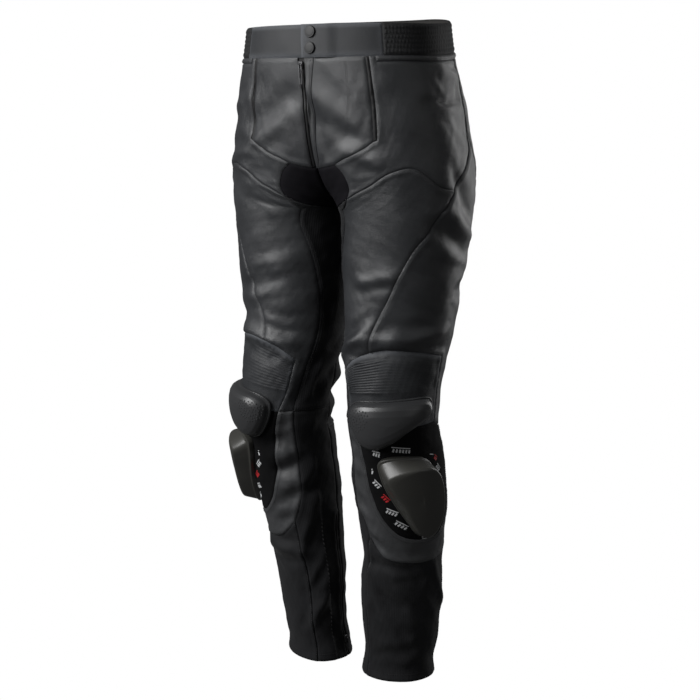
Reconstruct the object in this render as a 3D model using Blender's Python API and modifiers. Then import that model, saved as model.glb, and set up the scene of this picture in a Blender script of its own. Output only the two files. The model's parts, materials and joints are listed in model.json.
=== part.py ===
"""Leather motorcycle pants, hollow and standing as they are worn, with no wearer.

The garment is cut from panels. One surface gives the shape that the sewn panels take: a place on it is a
turn round one half of the garment and a level up from the hem. Seams are curves on that surface, a panel is
the cloth between its seams, and each panel is a wall of its own, a stitch's gap from its neighbours.

A turn runs from -1 at the centre front (the inseam below the crotch), through 0 at the outer side, to 1 at
the centre back. The wearer's left half is worked out, and the right half is its mirror with its own folds.
Metres, +Z up, -Y to the front, origin at the middle of the waistband.
"""

import math
from collections import namedtuple

import bmesh
import bpy
import numpy as np
from mathutils import Matrix, Vector
from mathutils.geometry import delaunay_2d_cdt

# Levels, counted up from the floor that the hem clears
ORIGIN_LEVEL = 1.010
HEM = 0.006
CROTCH = 0.765
STRIP_LEVEL = 0.981
BAND_BOTTOM = 0.988
BAND_TOP = 1.033

# The rise: the seam that curves under the crotch, and the waist's climb at the back
RISE_RADIUS = 0.070
RISE_FADE = 0.240
RISE_START = 0.35
BACK_LIFT = 0.014
LIFT_FROM = 0.90

# The cloth
LEATHER = 0.0020
STRETCH = 0.0018
SEAM_GAP = 0.0003
PANEL_SPACING = 0.025
SEAM_SPACING = 0.020
PER_TURN = 0.235
STEP = 0.001

Section = namedtuple("Section", "level inner outer middle front back twist square")
# Each row is one ring: its inner and outer reach from the centre plane, its middle in depth, its depth to the
# front and to the back of that, how far the leg is turned outwards in degrees, and how square its corners are
SECTIONS = [
    Section(0.000, 0.016, 0.137, 0.034, 0.053, 0.052, 28, 2.15),
    Section(0.030, 0.022, 0.134, 0.032, 0.049, 0.049, 28, 2.15),
    Section(0.060, 0.025, 0.141, 0.029, 0.049, 0.049, 28, 2.15),
    Section(0.150, 0.023, 0.153, 0.022, 0.054, 0.056, 28, 2.10),
    Section(0.220, 0.031, 0.157, 0.016, 0.060, 0.062, 28, 2.10),
    Section(0.300, 0.028, 0.169, 0.004, 0.068, 0.068, 28, 2.10),
    Section(0.380, 0.029, 0.171, -0.010, 0.074, 0.070, 28, 2.10),
    Section(0.440, 0.028, 0.167, -0.022, 0.076, 0.070, 27, 2.10),
    Section(0.500, 0.020, 0.168, -0.017, 0.082, 0.076, 25, 2.10),
    Section(0.580, 0.012, 0.178, -0.002, 0.085, 0.083, 18, 2.10),
    Section(0.660, 0.007, 0.189, 0.004, 0.092, 0.094, 9, 2.10),
    Section(0.720, 0.004, 0.194, 0.006, 0.094, 0.102, 3, 2.15),
    Section(0.765, 0.0006, 0.197, 0.007, 0.098, 0.110, 0, 2.20),
    Section(0.790, -0.018, 0.198, 0.007, 0.101, 0.116, 0, 2.20),
    Section(0.825, -0.050, 0.197, 0.006, 0.105, 0.121, 0, 2.25),
    Section(0.870, -0.086, 0.191, 0.004, 0.108, 0.122, 0, 2.30),
    Section(0.920, -0.122, 0.183, 0.002, 0.111, 0.117, 0, 2.35),
    Section(0.990, -0.150, 0.167, 0.000, 0.114, 0.108, 0, 2.40),
    Section(1.060, -0.157, 0.157, 0.000, 0.110, 0.105, 0, 2.40),
]

Fold = namedtuple("Fold", "side turn_a level_a turn_b level_b depth width")
# A fold is a soft trough, or a ridge where its depth is negative, along a line between two places
FOLDS = [
    Fold("left", -0.99, 0.934, -0.83, 0.905, 0.0040, 0.013),
    Fold("left", -0.99, 0.952, -0.78, 0.915, -0.0035, 0.010),
    Fold("left", -0.77, 0.880, -0.61, 0.850, -0.0035, 0.010),
    Fold("left", -0.25, 0.923, 0.02, 0.926, 0.0035, 0.009),
    Fold("left", -0.06, 0.970, 0.11, 0.958, -0.0030, 0.012),
    Fold("left", -0.06, 0.812, 0.06, 0.766, 0.0045, 0.011),
    Fold("left", -0.10, 0.768, 0.09, 0.726, -0.0045, 0.010),
    Fold("left", -0.17, 0.742, 0.01, 0.706, 0.0040, 0.010),
    Fold("left", -0.60, 0.664, -0.45, 0.672, -0.0035, 0.009),
    Fold("left", -0.63, 0.648, -0.48, 0.657, 0.0035, 0.009),
    Fold("left", -0.92, 0.545, -0.60, 0.593, -0.0050, 0.011),
    Fold("left", -0.73, 0.570, -0.46, 0.583, -0.0045, 0.010),
    Fold("left", -0.62, 0.558, -0.16, 0.564, 0.0045, 0.010),
    Fold("left", -0.46, 0.574, -0.18, 0.588, -0.0040, 0.011),
    Fold("left", -0.86, 0.286, -0.68, 0.244, 0.0030, 0.010),
    Fold("left", -0.95, 0.361, -0.89, 0.314, -0.0030, 0.011),
    Fold("left", -0.73, 0.212, -0.42, 0.206, 0.0045, 0.010),
    Fold("left", -0.78, 0.194, -0.66, 0.132, -0.0035, 0.012),
    Fold("left", -0.62, 0.160, -0.50, 0.142, 0.0040, 0.010),
    Fold("left", -0.57, 0.120, -0.40, 0.085, -0.0035, 0.011),
    Fold("left", -0.19, 0.200, -0.07, 0.142, -0.0035, 0.010),
    Fold("left", -0.69, 0.051, -0.41, 0.063, 0.0030, 0.010),
    Fold("right", -0.90, 0.945, -0.62, 0.898, 0.0040, 0.014),
    Fold("right", -0.90, 0.928, -0.63, 0.880, -0.0035, 0.011),
    Fold("right", -0.74, 0.957, -0.56, 0.932, 0.0030, 0.012),
    Fold("right", -0.60, 0.936, -0.40, 0.918, -0.0035, 0.010),
    Fold("right", -0.56, 0.860, -0.34, 0.834, -0.0040, 0.010),
    Fold("right", -0.30, 0.900, -0.06, 0.912, 0.0035, 0.012),
    Fold("right", -0.10, 0.780, 0.12, 0.750, 0.0045, 0.012),
    Fold("right", -0.60, 0.655, -0.36, 0.640, 0.0035, 0.011),
    Fold("right", -0.76, 0.556, -0.42, 0.572, -0.0055, 0.012),
    Fold("right", -0.68, 0.534, -0.42, 0.545, 0.0045, 0.010),
    Fold("right", -0.36, 0.590, -0.08, 0.600, 0.0045, 0.012),
    Fold("right", -0.82, 0.406, -0.70, 0.393, 0.0040, 0.010),
    Fold("right", -0.87, 0.360, -0.72, 0.346, 0.0040, 0.010),
    Fold("right", -0.81, 0.306, -0.66, 0.286, 0.0035, 0.010),
    Fold("right", -0.78, 0.203, -0.44, 0.204, -0.0050, 0.011),
    Fold("right", -0.99, 0.199, -0.82, 0.150, -0.0040, 0.011),
    Fold("right", -0.99, 0.130, -0.83, 0.080, -0.0035, 0.011),
    Fold("right", -0.99, 0.355, -0.91, 0.328, -0.0035, 0.012),
    Fold("right", -0.97, 0.293, -0.81, 0.214, -0.0035, 0.012),
    Fold("right", 0.95, 0.050, 0.97, 0.230, 0.0060, 0.030),
    Fold("both", 0.02, 0.645, 0.24, 0.655, 0.0045, 0.014),
    Fold("both", -0.96, 0.520, -0.90, 0.470, 0.0040, 0.012),
    Fold("both", 0.90, 0.500, 1.00, 0.480, 0.0045, 0.013),
    Fold("both", -0.99, 0.590, -0.95, 0.620, 0.0040, 0.013),
    Fold("both", 0.42, 0.820, 0.78, 0.812, 0.0060, 0.015),
    Fold("left", 0.46, 0.760, 0.76, 0.748, 0.0055, 0.015),
    Fold("right", 0.40, 0.742, 0.70, 0.756, 0.0055, 0.015),
    Fold("left", 0.40, 0.700, 0.70, 0.715, 0.0045, 0.015),
    Fold("right", 0.46, 0.690, 0.74, 0.676, 0.0045, 0.015),
    Fold("both", 0.44, 0.585, 0.74, 0.575, 0.0060, 0.014),
    Fold("both", 0.36, 0.515, 0.76, 0.520, 0.0070, 0.013),
    Fold("both", 0.38, 0.470, 0.74, 0.465, 0.0070, 0.013),
    Fold("left", 0.34, 0.425, 0.70, 0.432, 0.0055, 0.013),
    Fold("right", 0.42, 0.430, 0.76, 0.420, 0.0055, 0.013),
    Fold("left", 0.30, 0.360, 0.66, 0.345, 0.0045, 0.015),
    Fold("right", 0.26, 0.335, 0.60, 0.352, 0.0045, 0.015),
    Fold("left", 0.88, 0.180, 0.99, 0.140, 0.0040, 0.013),
    Fold("left", 0.20, 0.180, 0.50, 0.150, 0.0045, 0.015),
    Fold("right", 0.28, 0.150, 0.56, 0.176, 0.0045, 0.015),
    Fold("both", 0.30, 0.090, 0.60, 0.110, 0.0035, 0.014),
]

# Seams of one half: each is a smooth curve through a few places, (turn, level)
SEAMS = {
    "band_end": [(-1.0, BAND_BOTTOM), (-0.97, BAND_BOTTOM)],
    "waist_yoke": [(-0.97, BAND_BOTTOM), (-0.668, BAND_BOTTOM)],
    "waist_welt": [(-0.668, BAND_BOTTOM), (-0.644, BAND_BOTTOM)],
    "waist_hip": [(-0.644, BAND_BOTTOM), (-0.60, BAND_BOTTOM)],
    "waist_side": [(-0.60, BAND_BOTTOM), (-0.54, BAND_BOTTOM)],
    "waist_elastic": [(-0.54, BAND_BOTTOM), (0.12, BAND_BOTTOM), (0.35, BAND_BOTTOM)],
    "waist_back": [(0.35, BAND_BOTTOM), (1.0, BAND_BOTTOM)],
    "strip_end": [(-0.60, BAND_BOTTOM), (-0.60, STRIP_LEVEL)],
    "strip_hip": [(-0.60, STRIP_LEVEL), (0.12, STRIP_LEVEL)],
    "strip_seat": [(0.12, STRIP_LEVEL), (1.0, STRIP_LEVEL)],
    "fly_edge": [(-0.97, BAND_BOTTOM), (-0.97, 0.867)],
    "fly_end": [(-1.0, 0.867), (-0.97, 0.867)],
    "pocket_inner": [(-0.668, BAND_BOTTOM), (-0.659, 0.936), (-0.642, 0.884)],
    "pocket_outer": [(-0.644, BAND_BOTTOM), (-0.635, 0.936), (-0.618, 0.884)],
    "pocket_end": [(-0.642, 0.884), (-0.618, 0.884)],
    "yoke_bottom": [(-0.642, 0.884), (-0.745, 0.875), (-0.835, 0.8675)],
    "yoke_gusset": [(-0.835, 0.8675), (-0.97, 0.867)],
    "gusset_centre": [(-1.0, 0.867), (-1.0, CROTCH)],
    "gusset_side": [(-0.835, 0.8675), (-0.775, 0.848), (-0.728, 0.822), (-0.718, 0.799)],
    "gusset_bottom": [(-1.0, CROTCH), (-0.86, 0.772), (-0.718, 0.799)],
    "arch": [(-0.718, 0.799), (-0.62, 0.817), (-0.54, 0.829), (-0.40, 0.831), (-0.30, 0.819),
             (-0.20, 0.803), (-0.083, 0.797)],
    "hip_back": [(0.12, STRIP_LEVEL), (0.125, 0.930), (0.11, 0.885)],
    "hip_side": [(0.11, 0.885), (0.08, 0.850), (-0.02, 0.815), (-0.083, 0.797)],
    "side": [(-0.083, 0.797), (-0.203, 0.745), (-0.307, 0.714), (-0.395, 0.677), (-0.47, 0.640),
             (-0.573, 0.590), (-0.62, 0.558)],
    "seat_centre": [(1.0, STRIP_LEVEL), (1.0, CROTCH)],
    "seat_side": [(0.11, 0.885), (0.17, 0.845), (0.22, 0.810)],
    "seat_bottom": [(0.22, 0.810), (0.45, 0.800), (0.70, 0.785), (0.82, 0.775)],
    "seat_end": [(0.82, 0.775), (1.0, CROTCH)],
    "back_side": [(0.22, 0.810), (0.29, 0.750), (0.33, 0.680), (0.34, 0.600), (0.34, 0.540)],
    "back_inner": [(0.82, 0.775), (0.80, 0.700), (0.80, 0.600), (0.82, 0.540)],
    "medial": [(-0.718, 0.799), (-0.708, 0.765), (-0.715, 0.738), (-0.80, 0.693), (-0.89, 0.635),
               (-0.93, 0.575), (-0.915, 0.500), (-0.885, 0.447)],
    "accordion_top_inner": [(-0.84, 0.530), (-0.72, 0.548), (-0.62, 0.558)],
    "accordion_top_outer": [(-0.62, 0.558), (-0.50, 0.564), (-0.30, 0.560), (-0.12, 0.550)],
    "accordion_outer": [(-0.12, 0.550), (-0.12, 0.490), (-0.13, 0.450)],
    "accordion_bottom": [(-0.13, 0.450), (-0.45, 0.449), (-0.78, 0.447)],
    "accordion_inner": [(-0.78, 0.447), (-0.825, 0.480), (-0.84, 0.530)],
    "loop_outer_top": [(-0.13, 0.450), (0.0, 0.437)],
    "loop_bottom": [(0.0, 0.437), (0.02, 0.380), (0.0, 0.320), (-0.08, 0.283), (-0.20, 0.265),
                    (-0.35, 0.260), (-0.50, 0.268), (-0.62, 0.297), (-0.70, 0.340), (-0.74, 0.400),
                    (-0.78, 0.447)],
    "shin_top_outer": [(0.0, 0.437), (0.12, 0.430)],
    "shin_top_inner": [(-0.78, 0.447), (-0.885, 0.447)],
    "shin_back_upper": [(0.12, 0.430), (0.12, 0.410)],
    "shin_back": [(0.12, 0.410), (0.12, 0.300), (0.08, 0.245), (-0.03, 0.225)],
    "shin_bottom": [(-0.03, 0.225), (-0.20, 0.220), (-0.45, 0.219), (-0.62, 0.226), (-0.78, 0.255)],
    "shin_inner": [(-0.78, 0.255), (-0.86, 0.300), (-0.885, 0.360), (-0.885, 0.447)],
    "knee_side": [(0.12, 0.430), (0.12, 0.545)],
    "knee_side_top": [(0.12, 0.545), (0.34, 0.540)],
    "knee_top": [(0.34, 0.540), (0.82, 0.540)],
    "knee_inner": [(0.82, 0.540), (0.82, 0.447)],
    "knee_inner_low": [(0.82, 0.447), (0.82, 0.410)],
    "knee_bottom": [(0.82, 0.410), (0.12, 0.410)],
    "inner_bottom": [(0.82, 0.447), (1.115, 0.447)],
    "calf_inner_top": [(0.82, 0.410), (0.82, 0.260)],
    "zip_top": [(0.82, 0.260), (0.85, 0.260)],
    "zip_back": [(0.82, 0.260), (0.82, HEM)],
    "zip_front": [(0.85, 0.260), (0.85, HEM)],
    "zip_hem": [(0.82, HEM), (0.85, HEM)],
    "calf_front_inner": [(-0.78, 0.255), (-0.80, 0.190), (-0.81, 0.100), (-0.80, HEM)],
    "calf_front_outer": [(-0.03, 0.225), (-0.02, 0.130), (0.0, HEM)],
    "hem_front": [(-0.80, HEM), (0.0, HEM)],
    "hem_back": [(0.0, HEM), (0.82, HEM)],
    "hem_inner": [(0.85, HEM), (1.20, HEM)],
}

Panel = namedtuple("Panel", "name cloth seams")
# Each panel is the loop of its seams; a minus sign runs a seam backwards, a plus sign one turn further round
PANELS = [
    Panel("front_yoke", "leather", "waist_yoke pocket_inner yoke_bottom yoke_gusset -fly_edge"),
    Panel("pocket_welt", "trim", "waist_welt pocket_outer -pocket_end -pocket_inner"),
    Panel("hip", "leather", "waist_hip strip_end strip_hip hip_back hip_side -arch -gusset_side"
          " -yoke_bottom pocket_end -pocket_outer"),
    Panel("seat", "leather", "strip_seat seat_centre -seat_end -seat_bottom -seat_side -hip_back"),
    Panel("gusset", "stretch", "gusset_centre gusset_bottom -gusset_side yoke_gusset -fly_end"),
    Panel("thigh_front", "leather", "arch side -accordion_top_inner -accordion_inner shin_top_inner"
          " -medial"),
    Panel("thigh_outer", "leather", "-hip_side seat_side back_side -knee_side_top -knee_side"
          " -shin_top_outer -loop_outer_top -accordion_outer -accordion_top_outer -side"),
    Panel("thigh_back", "leather", "seat_bottom back_inner -knee_top -back_side"),
    Panel("thigh_inner", "stretch", "-back_inner seat_end +gusset_bottom +medial -inner_bottom"
          " -knee_inner"),
    Panel("knee_back", "stretch", "knee_side_top knee_top knee_inner knee_inner_low knee_bottom"
          " -shin_back_upper knee_side"),
    Panel("slider_panel", "loop", "-accordion_bottom loop_outer_top loop_bottom"),
    Panel("shin_surround", "leather", "shin_top_outer shin_back_upper shin_back shin_bottom shin_inner"
          " -shin_top_inner -loop_bottom"),
    Panel("calf_front", "stretch", "-shin_bottom calf_front_outer -hem_front -calf_front_inner"),
    Panel("calf_back", "stretch", "-shin_back -knee_bottom calf_inner_top zip_back -hem_back"
          " -calf_front_outer"),
    Panel("calf_inner", "stretch", "zip_top zip_front hem_inner +-calf_front_inner +shin_inner"
          " -inner_bottom knee_inner_low calf_inner_top"),
    Panel("calf_zip", "trim", "zip_top zip_front -zip_hem -zip_back"),
]

# Knee accordion: ribs across the front of the knee, above the cup
ACCORDION_RIBS = 13
ACCORDION_RELIEF = 0.0022
ACCORDION_LOW = [(-0.83, 0.492), (-0.60, 0.499), (-0.13, 0.505)]
ACCORDION_HIGH = [(-0.84, 0.524), (-0.72, 0.541), (-0.50, 0.557), (-0.30, 0.553), (-0.12, 0.543)]
ACCORDION_COLUMN = 0.018
RIB_MARGIN = 0.006

# Waist elastics: rows of gathered elastic at each side of the waistband
ELASTIC_RIBS = 6
ELASTIC_RELIEF = 0.0016
ELASTIC_FROM = -0.54
ELASTIC_TO = 0.35
ELASTIC_THICKNESS = 0.0024

# Waistband front: the left end lies over the right end and is held by two press studs
BAND_THICKNESS = 0.0022
OVERLAP_END = -1.012
UNDERLAP_END = -0.925
OVERLAP_RAMP = (-0.90, -0.83)
OVERLAP_LIFT = 0.0030
STUD_TURN = -0.978
STUD_LEVELS = (1.0222, 0.9998)
STUD_RADIUS = 0.0086
STUD_HEIGHT = 0.0026
STUD_LIFT = 0.0004

# Strips at the fly: the closed zip shows as a slit beside a guard strip
FLY_SLIT = -1.004
FLY_BOTTOM = 0.867
GUARD_RELIEF = 0.0010
STRIP_RELIEF = 0.0012

# Hard parts of the knee: outlines round the part, as places, and rings that climb to its crown
CUP_OUTLINE = [(-0.775, 0.476), (-0.69, 0.487), (-0.55, 0.490), (-0.40, 0.493), (-0.25, 0.494), (-0.20, 0.486),
               (-0.215, 0.470), (-0.38, 0.444), (-0.50, 0.425), (-0.61, 0.414), (-0.70, 0.419), (-0.765, 0.440),
               (-0.79, 0.460)]
CUP_CROWN = (-0.50, 0.457)
CUP_LIFT = 0.0012
Ring = namedtuple("Ring", "share height")
CUP_RINGS = [Ring(0.0, 0.0040), Ring(0.10, 0.0110), Ring(0.28, 0.0170), Ring(0.52, 0.0205), Ring(0.78, 0.0220)]
CUP_CROWN_HEIGHT = 0.0225

SLIDER_OUTLINE = [(-0.600, 0.394), (-0.52, 0.403), (-0.40, 0.404), (-0.30, 0.400), (-0.25, 0.382),
                  (-0.235, 0.345), (-0.25, 0.308), (-0.29, 0.282), (-0.345, 0.271), (-0.405, 0.277),
                  (-0.455, 0.296), (-0.515, 0.322), (-0.570, 0.350), (-0.600, 0.374)]
SLIDER_CROWN = (-0.37, 0.345)
SLIDER_LIFT = 0.0012
SLIDER_RINGS = [Ring(0.0, 0.0070), Ring(0.10, 0.0200), Ring(0.24, 0.0280), Ring(0.50, 0.0300),
                Ring(0.78, 0.0310)]
SLIDER_CROWN_HEIGHT = 0.0315
OUTLINE_SPACING = 0.013

# How far the hard parts sit from those places: the wearer's right knee is set a little further round
Shift = namedtuple("Shift", "turn level")
CUP_SHIFT = {"left": Shift(0.0, 0.0), "right": Shift(0.06, -0.012)}
SLIDER_SHIFT = {"left": Shift(0.0, 0.0), "right": Shift(0.095, -0.004)}

# Zip sliders and pulls, in the frame of the cloth they sit on: X across, Y up the zip, Z out of the cloth
ZIP_BODY = (0.0076, 0.0110, 0.0026)
ZIP_BEVEL = 0.0008
ARCH_RADIUS = 0.0026
ARCH_WIRE = 0.0006
PULL_THICKNESS = 0.0012
PULL_WIDTH = 0.0048
PULL_RIM = 0.0012
KNOB_RADIUS = 0.0030
KNOB_LENGTH = 0.0060
FLY_PULL = 0.030
CALF_PULL = 0.018
FLY_SLIDER_LEVEL = 0.9800
FLY_SLIDER_TURN = -1.016
FLY_SLIDER_LIFT = 0.0007
CALF_SLIDER_LEVEL = 0.036
CALF_SLIDER_TURN = 0.835
CALF_SLIDER_LIFT = 0.0008

Finish = namedtuple("Finish", "colour roughness metallic")
FINISHES = {
    "leather": Finish((0.022, 0.023, 0.025), 0.42, 0.0),
    "trim": Finish((0.014, 0.014, 0.015), 0.50, 0.0),
    "stretch": Finish((0.011, 0.011, 0.012), 0.90, 0.0),
    "loop": Finish((0.012, 0.012, 0.013), 0.95, 0.0),
    "elastic": Finish((0.013, 0.013, 0.014), 0.80, 0.0),
    "cup": Finish((0.028, 0.028, 0.029), 0.34, 0.0),
    "puck": Finish((0.045, 0.044, 0.038), 0.40, 0.0),
    "metal": Finish((0.060, 0.060, 0.062), 0.35, 1.0),
}
THICKNESS = {"leather": LEATHER, "trim": LEATHER, "stretch": STRETCH, "loop": LEATHER}


def clear_scene():
    for obj in list(bpy.data.objects):
        bpy.data.objects.remove(obj, do_unlink=True)


def new_collection(name):
    collection = bpy.data.collections.new(name)
    bpy.context.scene.collection.children.link(collection)
    return collection


def material(name):
    """The finish of that name as a Principled material."""
    found = bpy.data.materials.get(name)
    if found:
        return found
    finish = FINISHES[name]
    made = bpy.data.materials.new(name)
    made.use_nodes = True
    shader = made.node_tree.nodes["Principled BSDF"]
    shader.inputs["Base Color"].default_value = (*finish.colour, 1.0)
    shader.inputs["Roughness"].default_value = finish.roughness
    shader.inputs["Metallic"].default_value = finish.metallic
    return made


def smooth(share):
    share = np.clip(share, 0.0, 1.0)
    return share * share * (3.0 - 2.0 * share)


def sections_at(level):
    """The ring sizes at each level: a smooth curve through the rows of the table."""
    rows = np.array([row[1:] for row in SECTIONS])
    levels = np.array([row.level for row in SECTIONS])
    climb = np.diff(rows, axis=0) / np.diff(levels)[:, None]
    slope = np.zeros_like(rows)
    slope[1:-1] = np.where(climb[1:] * climb[:-1] > 0, (climb[1:] + climb[:-1]) / 2, 0.0)
    slope[0] = climb[0]
    slope[-1] = climb[-1]
    level = np.clip(level, levels[0], levels[-1])
    row = np.clip(np.searchsorted(levels, level, side="right") - 1, 0, len(levels) - 2)
    height = levels[row + 1] - levels[row]
    t = ((level - levels[row]) / height)[..., None]
    height = height[..., None]
    ends = rows[row] * (2 * t**3 - 3 * t**2 + 1) + rows[row + 1] * (3 * t**2 - 2 * t**3)
    bends = slope[row] * (t**3 - 2 * t**2 + t) + slope[row + 1] * (t**3 - t**2)
    return ends + bends * height


def height_of(turn, level):
    """Height above the hem: rows of cloth dip to the curved rise in front and behind, and climb at the back."""
    above = np.maximum(level - CROTCH, 0.0)
    arc = RISE_RADIUS * math.pi / 2
    bend = np.minimum(above, arc)
    dip = bend - RISE_RADIUS * (1 - np.cos(bend / RISE_RADIUS))
    fade = 1 - smooth((above - arc) / (RISE_FADE - arc))
    near_centre = smooth((np.abs(turn) - RISE_START) / (1 - RISE_START))
    lift = BACK_LIFT * smooth((turn + 0.2) / 0.9) * smooth((level - LIFT_FROM) / (BAND_BOTTOM - LIFT_FROM))
    return level - dip * fade * near_centre + lift


def half_surface(turn, level):
    """The left half's unfolded cloth: a squared ellipse at each height, cut off at the centre plane."""
    height = height_of(turn, level)
    inner, outer, middle, front, back, twist, square = np.moveaxis(sections_at(height), -1, 0)
    centre = (inner + outer) / 2
    reach = (outer - inner) / 2
    cut = np.clip(centre / reach, 0.0, 1.0)
    last_angle = np.where(inner >= 0, np.pi, np.pi - np.arccos(cut ** (square / 2)))
    angle = turn * last_angle
    cosine = np.cos(angle)
    sine = np.sin(angle)
    x = reach * np.sign(cosine) * np.abs(cosine) ** (2 / square)
    y = np.where(sine < 0, front, back) * np.sign(sine) * np.abs(sine) ** (2 / square)
    twist = np.radians(twist)
    return np.stack([
        centre + x * np.cos(twist) - y * np.sin(twist),
        middle + x * np.sin(twist) + y * np.cos(twist),
        height - ORIGIN_LEVEL,
    ], axis=-1)


def fold_depth(turn, level, left):
    """How far the folds sink the cloth at each place. left says which places are on the left half."""
    sunk = np.zeros_like(turn)
    for fold in FOLDS:
        worn = {"both": 1.0, "left": left, "right": 1.0 - left}[fold.side]
        run = np.array([(fold.turn_b - fold.turn_a) * PER_TURN, fold.level_b - fold.level_a])
        length = np.hypot(*run)
        along_x = (turn - fold.turn_a) * PER_TURN
        along_y = level - fold.level_a
        along = (along_x * run[0] + along_y * run[1]) / length
        away = (along_x * run[1] - along_y * run[0]) / length
        past = np.maximum(np.maximum(-along, along - length), 0.0)
        sunk += worn * fold.depth * np.exp(-((away / fold.width) ** 2) - (past / (1.5 * fold.width)) ** 2)
    return sunk


def home(turn, level, across):
    """The place on a half that a turn past its edge means, and whether it lies on the other half."""
    if across:
        other = np.abs(turn) > 1
        return np.where(turn > 1, 2 - turn, np.where(turn < -1, -2 - turn, turn)), other
    turn = np.where(turn > 1, turn - 2, np.where(turn < -1, turn + 2, turn))
    return turn, np.zeros(turn.shape, bool)


def unfolded(turn, level, across):
    place, other = home(turn, level, across)
    point = half_surface(place, level)
    point[..., 0] *= np.where(other, -1.0, 1.0)
    return point


def slopes(shape, turn, level, across):
    """The cloth's unit normal and its two directions, from points a small step away."""
    centre = turn
    if not across:
        edge = 1 - STEP
        centre = np.where(level > CROTCH - STEP, np.clip(home(turn, level, False)[0], -edge, edge), turn)
    along = (shape(centre + STEP, level) - shape(centre - STEP, level)) / (2 * STEP)
    up = (shape(centre, level + STEP) - shape(centre, level - STEP)) / (2 * STEP)
    normal = np.cross(along, up)
    return normal / np.linalg.norm(normal, axis=-1, keepdims=True), along, up


def cloth_point(turn, level, side, across):
    """The folded cloth's outer face."""
    normal = slopes(lambda t, v: unfolded(t, v, across), turn, level, across)[0]
    place, other = home(turn, level, across)
    left = np.where(other, 0.0, 1.0) if side == "left" else np.where(other, 1.0, 0.0)
    return unfolded(turn, level, across) - normal * fold_depth(place, level, left)[..., None]


def cloth(places, side, across):
    """Points, normals and directions of the folded cloth at the places."""
    turn, level = np.asarray(places, float).T
    point = cloth_point(turn, level, side, across)
    normal, along, up = slopes(lambda t, v: cloth_point(t, v, side, across), turn, level, across)
    if not across:
        centre = (np.abs(turn) > 1 - STEP) & (np.abs(turn) < 1 + STEP) & (level > CROTCH - STEP)
        normal[centre, 0] = np.minimum(normal[centre, 0], 0.0)
        normal /= np.linalg.norm(normal, axis=-1, keepdims=True)
    return point, normal, along, up


def curve_through(places, spacing, closed=False):
    """A smooth curve through the places, with even steps of about the spacing, ends kept."""
    places = np.array(places, float)
    scale = np.array([PER_TURN, 1.0])
    points = places * scale
    if closed:
        padded = np.vstack([points[-1:], points, points[:2]])
    else:
        padded = np.vstack([2 * points[0] - points[1], points, 2 * points[-1] - points[-2]])
    fine = []
    for a, b, c, d in zip(padded, padded[1:], padded[2:], padded[3:]):
        for t in np.linspace(0, 1, 24, endpoint=False):
            fine.append(0.5 * (2 * b + (c - a) * t + (2 * a - 5 * b + 4 * c - d) * t**2
                               + (3 * b - a - 3 * c + d) * t**3))
    fine.append(points[0] if closed else points[-1])
    fine = np.array(fine)
    run = np.concatenate([[0.0], np.cumsum(np.linalg.norm(np.diff(fine, axis=0), axis=1))])
    count = max(1, round(run[-1] / spacing))
    even = np.linspace(0, run[-1], count + 1)
    line = np.stack([np.interp(even, run, fine[:, k]) for k in range(2)], axis=-1)
    line[0] = fine[0]
    line[-1] = fine[-1]
    return line / scale


def seam_points(word):
    """The seam that a word names, run backwards after a minus sign and one turn further on after a plus."""
    name = word.lstrip("+-")
    line = curve_through(SEAMS[name], SEAM_SPACING)
    if "-" in word[:2]:
        line = line[::-1]
    return line + (2.0, 0.0) if word.startswith("+") and line[:, 0].max() < 0 else line


def loop_of(words):
    """The closed loop of these seams, counter-clockwise, each seam turned to follow the one before it."""
    lines = [seam_points(word) for word in words]
    first, second = lines[0], lines[1]
    ends = [np.linalg.norm(first[-1] - second[k]) for k in (0, -1)]
    if min(ends) > 1e-6:
        lines[0] = first[::-1]
    loop = [lines[0]]
    for line in lines[1:]:
        here = loop[-1][-1]
        loop.append(line if np.linalg.norm(line[0] - here) < 1e-6 else line[::-1])
    for before, after in zip(loop, loop[1:] + loop[:1]):
        assert np.linalg.norm(before[-1] - after[0]) < 1e-6, (words, before[-1], after[0])
    places = np.vstack([line[:-1] for line in loop])
    x, y = places.T
    area = np.sum(x * np.roll(y, -1) - np.roll(x, -1) * y)
    return places if area > 0 else places[::-1]


def drawn_in(loop, side, across, inset):
    """The loop moved in by the inset, as measured on the cloth."""
    point, normal, along, up = cloth(loop, side, across)
    ahead = np.roll(point, -1, axis=0) - point
    ahead /= np.linalg.norm(ahead, axis=1, keepdims=True)
    inward_ahead = np.cross(normal, ahead)
    inward_behind = np.cross(normal, np.roll(ahead, 1, axis=0))
    both = inward_ahead + inward_behind
    size = np.maximum(1 + np.sum(inward_ahead * inward_behind, axis=1), 0.35)
    shift = inset * both / size[:, None]
    moved = []
    for place, a, b, step in zip(loop, along, up, shift):
        directions = np.stack([a, b], axis=-1)
        moved.append(place + np.linalg.lstsq(directions, step, rcond=None)[0])
    return np.array(moved)


def flat(places):
    return np.asarray(places) * (PER_TURN, 1.0)


def inside(points, loop):
    """Which flat points lie inside the flat loop, and how far each is from it."""
    start = loop
    end = np.roll(loop, -1, axis=0)
    run = end - start
    offset = points[:, None, :] - start[None]
    share = np.clip(np.sum(offset * run, axis=-1) / np.sum(run * run, axis=-1), 0, 1)
    distance = np.linalg.norm(offset - share[..., None] * run, axis=-1).min(axis=1)
    x, y = points[:, 0, None], points[:, 1, None]
    crosses = (start[:, 1] > y) != (end[:, 1] > y)
    rise = np.where(np.abs(run[:, 1]) > 1e-12, run[:, 1], 1e-12)
    left_of = x < start[:, 0] + (y - start[:, 1]) * run[:, 0] / rise
    return (np.sum(crosses & left_of, axis=1) % 2).astype(bool), distance


def fold_places(side):
    """Places along each fold's line, so that a panel has points where it is deepest."""
    places = []
    for fold in FOLDS:
        if fold.side in ("both", side):
            ends = [(fold.turn_a, fold.level_a), (fold.turn_b, fold.level_b)]
            places += list(curve_through(ends, PANEL_SPACING))
    return np.array(places)


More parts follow.
